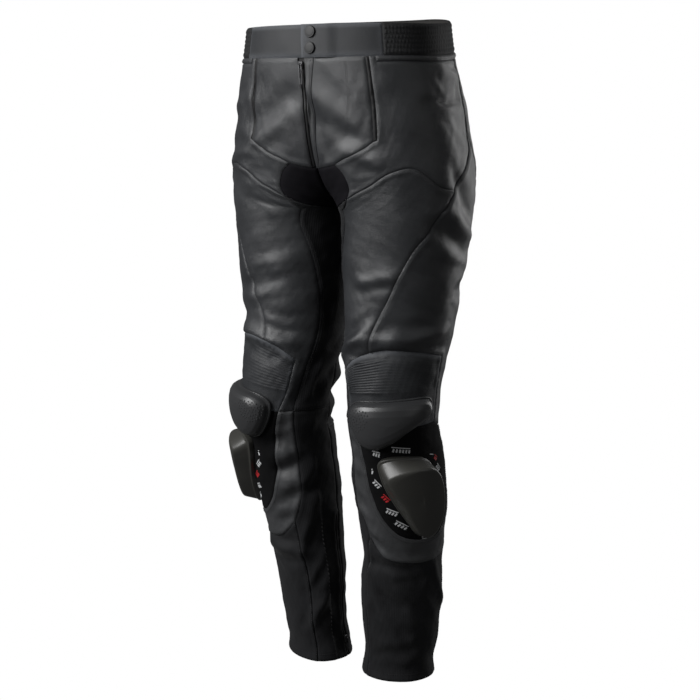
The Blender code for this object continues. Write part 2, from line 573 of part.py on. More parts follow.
def inner_places(loop, side, spacing):
    """A staggered grid of places inside a loop, with the lines of its folds."""
    edge = flat(loop)
    low = edge.min(axis=0)
    high = edge.max(axis=0)
    grid = []
    row_step = spacing * math.sqrt(3) / 2
    for row in range(int(low[1] / row_step), int(high[1] / row_step) + 2):
        for column in range(int(low[0] / spacing) - 2, int(high[0] / spacing) + 2):
            grid.append((spacing * (column + 0.5 * (row % 2)), row_step * row))
    grid = np.array(grid)
    folds = flat(fold_places(side))
    folds = np.vstack([folds, folds + (2 * PER_TURN, 0.0)])
    within, distance = inside(folds, edge)
    folds = folds[within & (distance > 0.35 * spacing)]
    within, distance = inside(grid, edge)
    grid = grid[within & (distance > 0.5 * spacing)]
    if len(folds) and len(grid):
        apart = np.linalg.norm(grid[:, None] - folds[None], axis=-1).min(axis=1)
        grid = grid[apart > 0.55 * spacing]
    chosen = np.vstack([folds, grid]) if len(folds) or len(grid) else np.zeros((0, 2))
    return chosen / (PER_TURN, 1.0)


def triangles(loop, inner):
    """Triangles that fill a loop through the places inside it."""
    points = np.vstack([flat(loop), flat(inner)]) if len(inner) else flat(loop)
    count = len(loop)
    edges = [(k, (k + 1) % count) for k in range(count)]
    made = delaunay_2d_cdt([Vector(p) for p in points], edges, [], 1, 1e-7)
    source = {}
    for new, old in enumerate(made[3]):
        source[new] = old[0]
    return [tuple(source[k] for k in face) for face in made[2]]


def edge_faces(loop, start):
    """The faces round a wall's edge, each split from its lower outer corner, as its neighbour's are."""
    faces = []
    order = [(round(level, 4), round(turn % 2, 4)) for turn, level in loop]
    for k in range(len(loop)):
        after = (k + 1) % len(loop)
        if order[k] < order[after]:
            faces += [(after, k, start + after), (k, start + k, start + after)]
        else:
            faces += [(after, k, start + k), (after, start + k, start + after)]
    return faces


def add_mesh(name, vertices, faces, finish, collection):
    mesh = bpy.data.meshes.new(name)
    mesh.from_pydata([tuple(v) for v in vertices], [], faces)
    mesh.validate()
    mesh.shade_smooth()
    mesh.set_sharp_from_angle(angle=math.radians(40))
    mesh.materials.append(material(finish))
    obj = bpy.data.objects.new(name, mesh)
    collection.objects.link(obj)
    return obj


def wall(name, loop, side, finish, collection, thickness, across=False, spacing=PANEL_SPACING,
         relief=None, lift=None, inner=None):
    """A wall of cloth inside a loop: an outer face, which relief may raise, and a plain inner face.

    relief is (places, heights) of the outer face's own points; lift raises the whole wall; inner gives the
    inner face's places where they aren't the outer face's.
    """
    loop = drawn_in(loop, side, across, SEAM_GAP / 2)
    plain = inner_places(loop, side, spacing) if inner is None else inner
    outer_inner, heights = (plain, np.zeros(len(plain))) if relief is None else relief
    rise = (lambda places: np.zeros(len(places))) if lift is None else lift

    def lifted(places, extra):
        point, normal = cloth(places, side, across)[:2]
        return point + normal * (rise(places) + extra)[:, None]

    edge = len(loop)
    outer_places = np.vstack([loop, outer_inner]) if len(outer_inner) else loop
    inner_face_places = np.vstack([loop, plain]) if len(plain) else loop
    outer = lifted(outer_places, np.concatenate([np.zeros(edge), heights]))
    under = lifted(inner_face_places, np.full(len(inner_face_places), -thickness))
    faces = triangles(loop, outer_inner)
    start = len(outer)
    faces += [tuple(start + k for k in face[::-1]) for face in triangles(loop, plain)]
    faces += edge_faces(loop, start)
    vertices = np.vstack([outer, under])
    if side == "right":
        vertices = vertices * (-1.0, 1.0, 1.0)
        faces = [face[::-1] for face in faces]
    return add_mesh(name, vertices, faces, finish, collection)


def at_turns(table, turns):
    """The level of a line, given as places, at each turn."""
    return np.interp(turns, [row[0] for row in table], [row[1] for row in table])


def rib_rows(low, high, turns, ribs, relief):
    """Places and heights of ribs that run between two lines: valleys and crests in turn."""
    places = []
    heights = []
    for row in range(2 * ribs + 1):
        share = row / (2 * ribs)
        levels = at_turns(low, turns) * (1 - share) + at_turns(high, turns) * share
        places += list(zip(turns, levels))
        heights += [relief * (row % 2)] * len(turns)
    return np.array(places), np.array(heights)


def ribbed(name, loop, side, finish, collection, thickness, places, heights, across=False):
    """A wall with ribs raised in its outer face, which end a little inside its seams."""
    within, distance = inside(flat(places), flat(loop))
    keep = within & (distance > RIB_MARGIN)
    relief = (places[keep], heights[keep])
    return wall(name, loop, side, finish, collection, thickness, across, relief=relief)


def sewn_panels(side, collection):
    """The panels of one half, each between its seams."""
    for panel in PANELS:
        loop = loop_of(panel.seams.split())
        wall(f"{panel.name}_{side}", loop, side, panel.cloth, collection, THICKNESS[panel.cloth])


def knee_accordion(side, collection):
    loop = loop_of(["accordion_top_inner", "accordion_top_outer", "accordion_outer", "accordion_bottom",
                    "accordion_inner"])
    turns = np.arange(loop[:, 0].min(), loop[:, 0].max(), ACCORDION_COLUMN / PER_TURN)
    low = [(turn, level + CUP_SHIFT[side].level) for turn, level in ACCORDION_LOW]
    places, heights = rib_rows(low, ACCORDION_HIGH, turns, ACCORDION_RIBS, ACCORDION_RELIEF)
    ribbed(f"knee_accordion_{side}", loop, side, "leather", collection, LEATHER, places, heights)


def band_loop(start, end):
    """A stretch of the waistband between two turns, which shares its lower points with the panels below."""
    words = ["band_end", "waist_yoke", "waist_welt", "waist_hip", "waist_side", "waist_elastic", "waist_back"]
    left = np.vstack([seam_points(word) for word in words])
    right = left[::-1] * (-1.0, 1.0) + (2.0, 0.0)
    before = left[::-1] * (-1.0, 1.0) - (2.0, 0.0)
    turns = np.unique(np.round(np.vstack([before, left, right])[:, 0], 6))
    turns = turns[(turns > start + 1e-4) & (turns < end - 1e-4)]
    turns = np.concatenate([[start], turns, [end]])
    bottom = np.stack([turns, np.full(len(turns), BAND_BOTTOM)], axis=-1)
    top = np.stack([turns[::-1], np.full(len(turns), BAND_TOP)], axis=-1)
    middle = (BAND_BOTTOM + BAND_TOP) / 2
    return np.vstack([bottom, [(end, middle)], top, [(start, middle)]])


def overlap_lift(places):
    """The left front end rises over the right one."""
    start, stop = OVERLAP_RAMP
    return OVERLAP_LIFT * smooth((stop - np.asarray(places)[:, 0]) / (stop - start))


def waistband(collection):
    left_front = band_loop(OVERLAP_END, ELASTIC_FROM)
    wall("waistband_front_left", left_front, "left", "leather", collection, BAND_THICKNESS, across=True,
         lift=overlap_lift)
    right_front = band_loop(-2 - ELASTIC_FROM, UNDERLAP_END)
    wall("waistband_front_right", right_front, "left", "leather", collection, BAND_THICKNESS, across=True)
    back = band_loop(ELASTIC_TO, 2 - ELASTIC_TO)
    wall("waistband_back", back, "left", "leather", collection, BAND_THICKNESS, across=True)
    for side in ("left", "right"):
        loop = band_loop(ELASTIC_FROM, ELASTIC_TO)
        turns = np.arange(ELASTIC_FROM, ELASTIC_TO, ACCORDION_COLUMN / PER_TURN)
        low = [(-1, BAND_BOTTOM + RIB_MARGIN / 2), (1, BAND_BOTTOM + RIB_MARGIN / 2)]
        high = [(-1, BAND_TOP - RIB_MARGIN / 2), (1, BAND_TOP - RIB_MARGIN / 2)]
        places, heights = rib_rows(low, high, turns, ELASTIC_RIBS, ELASTIC_RELIEF)
        within, distance = inside(flat(places), flat(loop))
        keep = within & (distance > RIB_MARGIN / 3)
        wall(f"waist_elastic_{side}", loop, side, "elastic", collection, ELASTIC_THICKNESS,
             relief=(places[keep], heights[keep]))


def connection_zip(collection):
    """The covered zip under the waistband, round the back from hip to hip."""
    lower = np.vstack([seam_points("strip_hip"), seam_points("strip_seat")])
    upper = np.vstack([seam_points(word) for word in ("waist_side", "waist_elastic", "waist_back")])
    upper[:, 0] = np.maximum(upper[:, 0], SEAMS["strip_end"][0][0])
    loops = []
    for line in (lower, upper):
        turns = np.unique(np.round(np.concatenate([line[:, 0], 2 - line[:, 0]]), 6))
        loops.append(np.stack([turns, np.full(len(turns), line[0, 1])], axis=-1))
    loop = np.vstack([loops[0], loops[1][::-1]])
    wall("connection_zip_guard", loop, "left", "trim", collection, LEATHER, across=True,
         lift=lambda places: np.full(len(places), STRIP_RELIEF))


def upright_strip(start, end, low, high):
    """A narrow strip between two turns, with points as far apart as those of the seams beside it."""
    levels = curve_through([(0.0, low), (0.0, high)], SEAM_SPACING)[:, 1]
    right_edge = np.stack([np.full(len(levels), end), levels], axis=-1)
    left_edge = np.stack([np.full(len(levels), start), levels[::-1]], axis=-1)
    return np.vstack([right_edge, left_edge])


def fly(collection):
    edge = SEAMS["fly_edge"][0][0]
    slit = upright_strip(-2 - edge, FLY_SLIT, FLY_BOTTOM, BAND_BOTTOM)
    wall("fly_zip", slit, "left", "trim", collection, LEATHER, across=True)
    guard = upright_strip(FLY_SLIT, edge, FLY_BOTTOM, BAND_BOTTOM)
    wall("fly_guard", guard, "left", "leather", collection, LEATHER, across=True,
         lift=lambda places: np.full(len(places), GUARD_RELIEF))


def hard_part(name, outline, crown, rings, crown_height, lift, shift, side, finish, collection):
    """A moulded part on the cloth: rings of its outline, drawn in towards its crown, climb to the top."""
    loop = curve_through(outline, OUTLINE_SPACING, closed=True)[:-1] + shift
    x, y = flat(loop).T
    if np.sum(x * np.roll(y, -1) - np.roll(x, -1) * y) < 0:
        loop = loop[::-1]
    centre = np.array(crown) + shift
    places = [loop]
    heights = [np.full(len(loop), rings[0].height)]
    for ring in rings[1:]:
        step = 1 if ring.share < 0.4 else 2
        drawn = loop[::step] * (1 - ring.share) + centre * ring.share
        places.append(drawn)
        heights.append(np.full(len(drawn), ring.height))
    places.append(centre[None])
    heights.append(np.array([crown_height]))
    places = np.vstack(places)
    heights = np.concatenate(heights)
    point, normal = cloth(places, side, False)[:2]
    top = point + normal * (lift + heights)[:, None]
    under_inner = inner_places(loop, side, PANEL_SPACING / 2)
    point, normal = cloth(np.vstack([loop, under_inner]), side, False)[:2]
    under = point + normal * lift
    edge = len(loop)
    faces = triangles(loop, places[edge:])
    start = len(top)
    faces += [tuple(start + k for k in face[::-1]) for face in triangles(loop, under_inner)]
    faces += edge_faces(loop, start)
    vertices = np.vstack([top, under])
    if side == "right":
        vertices = vertices * (-1.0, 1.0, 1.0)
        faces = [face[::-1] for face in faces]
    return add_mesh(name, vertices, faces, finish, collection)


def seat_frame(turn, level, side, across, lift):
    """A frame on the cloth, a little above it: X across, Y up, Z out."""
    point, normal, along, _ = cloth([(turn, level)], side, across)
    out = Vector(normal[0])
    over = Vector(along[0])
    place = Vector(point[0])
    if side == "right":
        out.x, over.x, place.x = -out.x, -over.x, -place.x
    over = (over - over.dot(out) * out).normalized()
    up = out.cross(over)
    if up.z < 0:
        over = -over
        up = -up
    frame = Matrix((over, up, out)).transposed().to_4x4()
    frame.translation = place + out * lift
    return frame


def object_from(name, shape, frame, finish, collection):
    mesh = bpy.data.meshes.new(name)
    shape.to_mesh(mesh)
    shape.free()
    mesh.shade_smooth()
    mesh.set_sharp_from_angle(angle=math.radians(40))
    mesh.materials.append(material(finish))
    obj = bpy.data.objects.new(name, mesh)
    obj.matrix_world = frame
    collection.objects.link(obj)
    return obj


def block(size, centre):
    shape = bmesh.new()
    bmesh.ops.create_cube(shape, size=1.0, matrix=Matrix.Translation(centre) @ Matrix.Diagonal((*size, 1.0)))
    return shape


def combined(name, target, tool, operation):
    """Applies a Boolean to the target: the tool is a helper that isn't rendered."""
    tool.hide_render = True
    tool.display_type = "WIRE"
    modifier = target.modifiers.new(name, "BOOLEAN")
    modifier.operation = operation
    modifier.object = tool
    modifier.solver = "EXACT"


def press_stud(name, level, collection):
    shape = bmesh.new()
    bmesh.ops.create_cone(shape, cap_ends=True, segments=24, radius1=STUD_RADIUS, radius2=0.86 * STUD_RADIUS,
                          depth=STUD_HEIGHT, matrix=Matrix.Translation((0, 0, STUD_HEIGHT / 2)))
    frame = seat_frame(STUD_TURN, level, "left", True, OVERLAP_LIFT + STUD_LIFT)
    object_from(name, shape, frame, "leather", collection)


def zip_slider(name, frame, collection, helpers):
    """The slider's body, with the wire arch that holds its pull."""
    width, length, height = ZIP_BODY
    body = object_from(name, block(ZIP_BODY, (0, 0, height / 2)), frame, "metal", collection)
    bevel = body.modifiers.new("rounded", "BEVEL")
    bevel.width = ZIP_BEVEL
    bevel.segments = 1
    arch = bmesh.new()
    sides = 8
    steps = 8
    rings = []
    for step in range(steps + 1):
        angle = math.pi * step / steps
        ring = []
        for side in range(sides):
            around = 2 * math.pi * side / sides
            reach = ARCH_RADIUS + ARCH_WIRE * math.cos(around)
            sink = -0.0006 if step in (0, steps) else 0.0
            ring.append(arch.verts.new((ARCH_WIRE * math.sin(around), reach * math.cos(angle),
                                        height + reach * math.sin(angle) + sink)))
        rings.append(ring)
    for ring, following in zip(rings, rings[1:]):
        for side in range(sides):
            beside = (side + 1) % sides
            arch.faces.new((ring[side], ring[beside], following[beside], following[side]))
    arch.faces.new(rings[0][::-1])
    arch.faces.new(rings[-1])
    bmesh.ops.recalc_face_normals(arch, faces=arch.faces)
    wire = object_from(name + "_arch", arch, frame, "metal", helpers)
    combined("arch", body, wire, "UNION")


def zip_pull(name, frame, length, knob, collection, helpers):
    """The pull tab, hung on the arch, with its origin on the hinge and its window round the wire."""
    height = ZIP_BODY[2]
    pivot = frame @ Matrix.Translation((0, 0, height + (ARCH_RADIUS - ARCH_WIRE) / 2))
    centre = (0, PULL_RIM / 2 - length / 2, 0)
    tab = object_from(name, block((PULL_WIDTH, length, PULL_THICKNESS), centre), pivot, "metal", collection)
    gap = length - 2 * PULL_RIM if knob else 0.4 * length
    window = block((PULL_WIDTH - 2 * PULL_RIM, gap, 4 * PULL_THICKNESS), (0, -PULL_RIM / 2 - gap / 2, 0))
    combined("window", tab, object_from(name + "_window", window, pivot, "metal", helpers), "DIFFERENCE")
    if knob:
        end = bmesh.new()
        bmesh.ops.create_cone(end, cap_ends=True, segments=12, radius1=0.8 * KNOB_RADIUS, radius2=KNOB_RADIUS,
                              depth=KNOB_LENGTH, matrix=Matrix.Translation((0, -length, 0))
                              @ Matrix.Rotation(math.radians(90), 4, "X"))
        combined("knob", tab, object_from(name + "_knob", end, pivot, "metal", helpers), "UNION")
    return tab


def zips(collection, helpers):
    frame = seat_frame(FLY_SLIDER_TURN, FLY_SLIDER_LEVEL, "left", True, FLY_SLIDER_LIFT)
    zip_slider("fly_zip_slider", frame, collection, helpers)
    zip_pull("fly_zip_pull", frame, FLY_PULL, True, collection, helpers)
    for side in ("left", "right"):
        frame = seat_frame(CALF_SLIDER_TURN, CALF_SLIDER_LEVEL, side, False, CALF_SLIDER_LIFT)
        zip_slider(f"calf_zip_slider_{side}", frame, collection, helpers)
        zip_pull(f"calf_zip_pull_{side}", frame, CALF_PULL, False, collection, helpers)


def main():
    clear_scene()
    collection = new_collection("leather_motorcycle_pants")
    helpers = new_collection("helpers")
    for side in ("left", "right"):
        sewn_panels(side, collection)
        knee_accordion(side, collection)
        hard_part(f"knee_cup_{side}", CUP_OUTLINE, CUP_CROWN, CUP_RINGS, CUP_CROWN_HEIGHT, CUP_LIFT,
                  CUP_SHIFT[side], side, "cup", collection)
        hard_part(f"knee_slider_{side}", SLIDER_OUTLINE, SLIDER_CROWN, SLIDER_RINGS, SLIDER_CROWN_HEIGHT,
                  SLIDER_LIFT, SLIDER_SHIFT[side], side, "puck", collection)
    waistband(collection)
    connection_zip(collection)
    fly(collection)
    press_stud("press_stud_upper", STUD_LEVELS[0], collection)
    press_stud("press_stud_lower", STUD_LEVELS[1], collection)
    zips(collection, helpers)


main()
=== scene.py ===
"""Looks of the leather motorcycle pants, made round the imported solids.

Each panel of cloth is a fine shell on its solid's form: the same surface, seams and largest folds, with finer
creases, rolled and puckered seam edges, felled seams, rows of stitches, zip teeth and moulded knee parts.

A turn runs from -1 at the centre front (the inseam below the crotch), through 0 at the outer side, to 1 at
the centre back of one half; a level counts up from the hem. Metres, +Z up, -Y to the front.
"""

import json
import math
from collections import namedtuple

import bpy
import numpy as np
from mathutils import Matrix, Vector
from mathutils.geometry import delaunay_2d_cdt

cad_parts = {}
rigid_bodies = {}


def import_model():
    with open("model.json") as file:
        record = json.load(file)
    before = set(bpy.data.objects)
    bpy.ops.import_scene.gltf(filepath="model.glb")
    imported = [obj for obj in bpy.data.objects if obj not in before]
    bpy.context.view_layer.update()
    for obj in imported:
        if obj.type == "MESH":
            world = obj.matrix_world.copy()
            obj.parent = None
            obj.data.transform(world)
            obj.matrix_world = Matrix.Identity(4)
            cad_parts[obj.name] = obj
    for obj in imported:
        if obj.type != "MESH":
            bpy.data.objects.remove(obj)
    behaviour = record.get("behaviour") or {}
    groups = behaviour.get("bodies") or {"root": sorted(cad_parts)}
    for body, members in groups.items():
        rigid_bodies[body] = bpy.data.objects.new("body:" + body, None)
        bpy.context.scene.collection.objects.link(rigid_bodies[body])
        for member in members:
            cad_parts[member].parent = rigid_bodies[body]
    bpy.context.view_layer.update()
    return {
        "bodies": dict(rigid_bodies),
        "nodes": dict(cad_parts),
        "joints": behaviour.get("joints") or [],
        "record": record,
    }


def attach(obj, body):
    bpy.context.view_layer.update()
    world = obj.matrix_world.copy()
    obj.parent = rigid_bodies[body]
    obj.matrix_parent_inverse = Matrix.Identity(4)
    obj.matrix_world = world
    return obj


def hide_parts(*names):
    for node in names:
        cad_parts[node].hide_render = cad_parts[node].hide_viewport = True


# Levels, counted up from the floor that the hem clears
ORIGIN_LEVEL = 1.010
HEM = 0.006
CROTCH = 0.765
STRIP_LEVEL = 0.981
BAND_BOTTOM = 0.988
BAND_TOP = 1.033

# The rise: the seam that curves under the crotch, and the waist's climb at the back
RISE_RADIUS = 0.070
RISE_FADE = 0.240
RISE_START = 0.35
BACK_LIFT = 0.014
LIFT_FROM = 0.90

# The cloth
LEATHER = 0.0020
STRETCH = 0.0018
SEAM_GAP = 0.0001
CLOTH_SPACING = 0.0042
SEAM_SPACING = 0.0040
WELT_SPACING = 0.0020
ELASTIC_SPACING = 0.0016
GUARD_SPACING = 0.0030
FLY_SPACING = 0.0022
PER_TURN = 0.235
STEP = 0.001
CURVE_STEPS = 24
WAVE_COUNT = 9
SHARP_ANGLE = 50
# How many points are measured at a time: from a line, from other points, and from a shell's points
LINE_BLOCK = 2000
POINT_BLOCK = 500
SHELL_BLOCK = 400

# Each row is one ring. In millimetres: its level, its inner and outer reach from the centre plane, its middle
# in depth, and its depth to the front and to the back of that. Then how far the leg is turned outwards, in
# degrees, and how square its corners are
SECTIONS = [
    (0, 16, 137, 34, 53, 52, 28, 2.15), (30, 22, 134, 32, 49, 49, 28, 2.15),
    (60, 25, 141, 29, 49, 49, 28, 2.15), (150, 23, 153, 22, 54, 56, 28, 2.1),
    (220, 31, 157, 16, 60, 62, 28, 2.1), (300, 28, 169, 4, 68, 68, 28, 2.1),
    (380, 29, 171, -10, 74, 70, 28, 2.1), (440, 28, 167, -22, 76, 70, 27, 2.1),
    (500, 20, 168, -17, 82, 76, 25, 2.1), (580, 12, 178, -2, 85, 83, 18, 2.1),
    (660, 7, 189, 4, 92, 94, 9, 2.1), (720, 4, 194, 6, 94, 102, 3, 2.15),
    (765, 0.6, 197, 7, 98, 110, 0, 2.2), (790, -18, 198, 7, 101, 116, 0, 2.2),
    (825, -50, 197, 6, 105, 121, 0, 2.25), (870, -86, 191, 4, 108, 122, 0, 2.3),
    (920, -122, 183, 2, 111, 117, 0, 2.35), (990, -150, 167, 0, 114, 108, 0, 2.4),
    (1060, -157, 157, 0, 110, 105, 0, 2.4),
]

Fold = namedtuple("Fold", "side turn_a level_a turn_b level_b depth width bend", defaults=(None,))
# A fold is a soft trough, or a ridge where its depth is negative, along a line between two places. Each row
# holds both places, the depth and the width, with levels, depth and width in millimetres
FOLDS = {
    "left": [
        (-0.99, 934, -0.83, 905, 4, 13), (-0.99, 952, -0.78, 915, -3.5, 10),
        (-0.77, 880, -0.61, 850, -3.5, 10), (-0.25, 923, 0.02, 926, 3.5, 9), (-0.06, 970, 0.11, 958, -3, 12),
        (-0.06, 812, 0.06, 766, 4.5, 11), (-0.1, 768, 0.09, 726, -4.5, 10), (-0.17, 742, 0.01, 706, 4, 10),
        (-0.6, 664, -0.45, 672, -3.5, 9), (-0.63, 648, -0.48, 657, 3.5, 9), (-0.92, 545, -0.6, 593, -5, 11),
        (-0.73, 570, -0.46, 583, -4.5, 10), (-0.62, 558, -0.16, 564, 4.5, 10),
        (-0.46, 574, -0.18, 588, -4, 11), (-0.86, 286, -0.68, 244, 3, 10), (-0.95, 361, -0.89, 314, -3, 11),
        (-0.73, 212, -0.42, 206, 4.5, 10), (-0.78, 194, -0.66, 132, -3.5, 12),
        (-0.62, 160, -0.5, 142, 4, 10), (-0.57, 120, -0.4, 85, -3.5, 11), (-0.19, 200, -0.07, 142, -3.5, 10),
        (-0.69, 51, -0.41, 63, 3, 10), (0.46, 760, 0.76, 748, 5.5, 15), (0.4, 700, 0.7, 715, 4.5, 15),
        (0.34, 425, 0.7, 432, 5.5, 13), (0.3, 360, 0.66, 345, 4.5, 15), (0.88, 180, 0.99, 140, 4, 13),
        (0.2, 180, 0.5, 150, 4.5, 15),
    ],
    "right": [
        (-0.9, 945, -0.62, 898, 4, 14), (-0.9, 928, -0.63, 880, -3.5, 11), (-0.74, 957, -0.56, 932, 3, 12),
        (-0.6, 936, -0.4, 918, -3.5, 10), (-0.56, 860, -0.34, 834, -4, 10), (-0.3, 900, -0.06, 912, 3.5, 12),
        (-0.1, 780, 0.12, 750, 4.5, 12), (-0.6, 655, -0.36, 640, 3.5, 11),
        (-0.76, 556, -0.42, 572, -5.5, 12), (-0.68, 534, -0.42, 545, 4.5, 10),
        (-0.36, 590, -0.08, 600, 4.5, 12), (-0.82, 406, -0.7, 393, 4, 10), (-0.87, 360, -0.72, 346, 4, 10),
        (-0.81, 306, -0.66, 286, 3.5, 10), (-0.78, 203, -0.44, 204, -5, 11),
        (-0.99, 199, -0.82, 150, -4, 11), (-0.99, 130, -0.83, 80, -3.5, 11),
        (-0.99, 355, -0.91, 328, -3.5, 12), (-0.97, 293, -0.81, 214, -3.5, 12), (0.95, 50, 0.97, 230, 6, 30),
        (0.4, 742, 0.7, 756, 5.5, 15), (0.46, 690, 0.74, 676, 4.5, 15), (0.42, 430, 0.76, 420, 5.5, 13),
        (0.26, 335, 0.6, 352, 4.5, 15), (0.28, 150, 0.56, 176, 4.5, 15),
    ],
    "both": [
        (0.02, 645, 0.24, 655, 4.5, 14), (-0.96, 520, -0.9, 470, 4, 12), (0.9, 500, 1, 480, 4.5, 13),
        (-0.99, 590, -0.95, 620, 4, 13), (0.42, 820, 0.78, 812, 6, 15), (0.44, 585, 0.74, 575, 6, 14),
        (0.36, 515, 0.76, 520, 7, 13), (0.38, 470, 0.74, 465, 7, 13), (0.3, 90, 0.6, 110, 3.5, 14),
    ],
}

# Seams of one half: each is a smooth curve through a few places, (turn, level)
SEAMS = {
    "band_end": [(-1.0, BAND_BOTTOM), (-0.97, BAND_BOTTOM)],
    "waist_yoke": [(-0.97, BAND_BOTTOM), (-0.668, BAND_BOTTOM)],
    "waist_welt": [(-0.668, BAND_BOTTOM), (-0.644, BAND_BOTTOM)],
    "waist_hip": [(-0.644, BAND_BOTTOM), (-0.60, BAND_BOTTOM)],
    "waist_side": [(-0.60, BAND_BOTTOM), (-0.54, BAND_BOTTOM)],
    "waist_elastic": [(-0.54, BAND_BOTTOM), (0.12, BAND_BOTTOM), (0.35, BAND_BOTTOM)],
    "waist_back": [(0.35, BAND_BOTTOM), (1.0, BAND_BOTTOM)],
    "strip_end": [(-0.60, BAND_BOTTOM), (-0.60, STRIP_LEVEL)],
    "strip_hip": [(-0.60, STRIP_LEVEL), (0.12, STRIP_LEVEL)],
    "strip_seat": [(0.12, STRIP_LEVEL), (1.0, STRIP_LEVEL)],
    "fly_edge": [(-0.97, BAND_BOTTOM), (-0.97, 0.867)],
    "fly_end": [(-1.0, 0.867), (-0.97, 0.867)],
    "pocket_inner": [(-0.668, BAND_BOTTOM), (-0.659, 0.936), (-0.642, 0.884)],
    "pocket_outer": [(-0.644, BAND_BOTTOM), (-0.635, 0.936), (-0.618, 0.884)],
    "pocket_end": [(-0.642, 0.884), (-0.618, 0.884)],
    "yoke_bottom": [(-0.642, 0.884), (-0.745, 0.875), (-0.835, 0.8675)],
    "yoke_gusset": [(-0.835, 0.8675), (-0.97, 0.867)],
    "gusset_centre": [(-1.0, 0.867), (-1.0, CROTCH)],
    "gusset_side": [(-0.835, 0.8675), (-0.775, 0.848), (-0.728, 0.822), (-0.718, 0.799)],
    "gusset_bottom": [(-1.0, CROTCH), (-0.86, 0.772), (-0.718, 0.799)],
    "arch": [(-0.718, 0.799), (-0.62, 0.817), (-0.54, 0.829), (-0.40, 0.831), (-0.30, 0.819),
             (-0.20, 0.803), (-0.083, 0.797)],
    "hip_back": [(0.12, STRIP_LEVEL), (0.125, 0.930), (0.11, 0.885)],
    "hip_side": [(0.11, 0.885), (0.08, 0.850), (-0.02, 0.815), (-0.083, 0.797)],
    "side": [(-0.083, 0.797), (-0.203, 0.745), (-0.307, 0.714), (-0.395, 0.677), (-0.47, 0.640),
             (-0.573, 0.590), (-0.62, 0.558)],
    "seat_centre": [(1.0, STRIP_LEVEL), (1.0, CROTCH)],
    "seat_side": [(0.11, 0.885), (0.17, 0.845), (0.22, 0.810)],
    "seat_bottom": [(0.22, 0.810), (0.45, 0.800), (0.70, 0.785), (0.82, 0.775)],
    "seat_end": [(0.82, 0.775), (1.0, CROTCH)],
    "back_side": [(0.22, 0.810), (0.29, 0.750), (0.33, 0.680), (0.34, 0.600), (0.34, 0.540)],
    "back_inner": [(0.82, 0.775), (0.80, 0.700), (0.80, 0.600), (0.82, 0.540)],
    "medial": [(-0.718, 0.799), (-0.708, 0.765), (-0.715, 0.738), (-0.80, 0.693), (-0.89, 0.635),
               (-0.93, 0.575), (-0.915, 0.500), (-0.885, 0.447)],
    "accordion_top_inner": [(-0.84, 0.530), (-0.72, 0.548), (-0.62, 0.558)],
    "accordion_top_outer": [(-0.62, 0.558), (-0.50, 0.564), (-0.30, 0.560), (-0.12, 0.550)],
    "accordion_outer": [(-0.12, 0.550), (-0.12, 0.490), (-0.13, 0.450)],
    "accordion_bottom": [(-0.13, 0.450), (-0.45, 0.449), (-0.78, 0.447)],
    "accordion_inner": [(-0.78, 0.447), (-0.825, 0.480), (-0.84, 0.530)],
    "loop_outer_top": [(-0.13, 0.450), (0.0, 0.437)],
    "loop_bottom": [(0.0, 0.437), (0.02, 0.380), (0.0, 0.320), (-0.08, 0.283), (-0.20, 0.265),
                    (-0.35, 0.260), (-0.50, 0.268), (-0.62, 0.297), (-0.70, 0.340), (-0.74, 0.400),
                    (-0.78, 0.447)],
    "shin_top_outer": [(0.0, 0.437), (0.12, 0.430)],
    "shin_top_inner": [(-0.78, 0.447), (-0.885, 0.447)],
    "shin_back_upper": [(0.12, 0.430), (0.12, 0.410)],
    "shin_back": [(0.12, 0.410), (0.12, 0.300), (0.08, 0.245), (-0.03, 0.225)],
    "shin_bottom": [(-0.03, 0.225), (-0.20, 0.220), (-0.45, 0.219), (-0.62, 0.226), (-0.78, 0.255)],
    "shin_inner": [(-0.78, 0.255), (-0.86, 0.300), (-0.885, 0.360), (-0.885, 0.447)],
    "knee_side": [(0.12, 0.430), (0.12, 0.545)],
    "knee_side_top": [(0.12, 0.545), (0.34, 0.540)],
    "knee_top": [(0.34, 0.540), (0.82, 0.540)],
    "knee_inner": [(0.82, 0.540), (0.82, 0.447)],
    "knee_inner_low": [(0.82, 0.447), (0.82, 0.410)],
    "knee_bottom": [(0.82, 0.410), (0.12, 0.410)],
    "inner_bottom": [(0.82, 0.447), (1.115, 0.447)],
    "calf_inner_top": [(0.82, 0.410), (0.82, 0.260)],
    "zip_top": [(0.82, 0.260), (0.85, 0.260)],
    "zip_back": [(0.82, 0.260), (0.82, HEM)],
    "zip_front": [(0.85, 0.260), (0.85, HEM)],
    "zip_hem": [(0.82, HEM), (0.85, HEM)],
    "calf_front_inner": [(-0.78, 0.255), (-0.80, 0.190), (-0.81, 0.100), (-0.80, HEM)],
    "calf_front_outer": [(-0.03, 0.225), (-0.02, 0.130), (0.0, HEM)],
    "hem_front": [(-0.80, HEM), (0.0, HEM)],
    "hem_back": [(0.0, HEM), (0.82, HEM)],
    "hem_inner": [(0.85, HEM), (1.20, HEM)],
}

Panel = namedtuple("Panel", "name cloth seams")
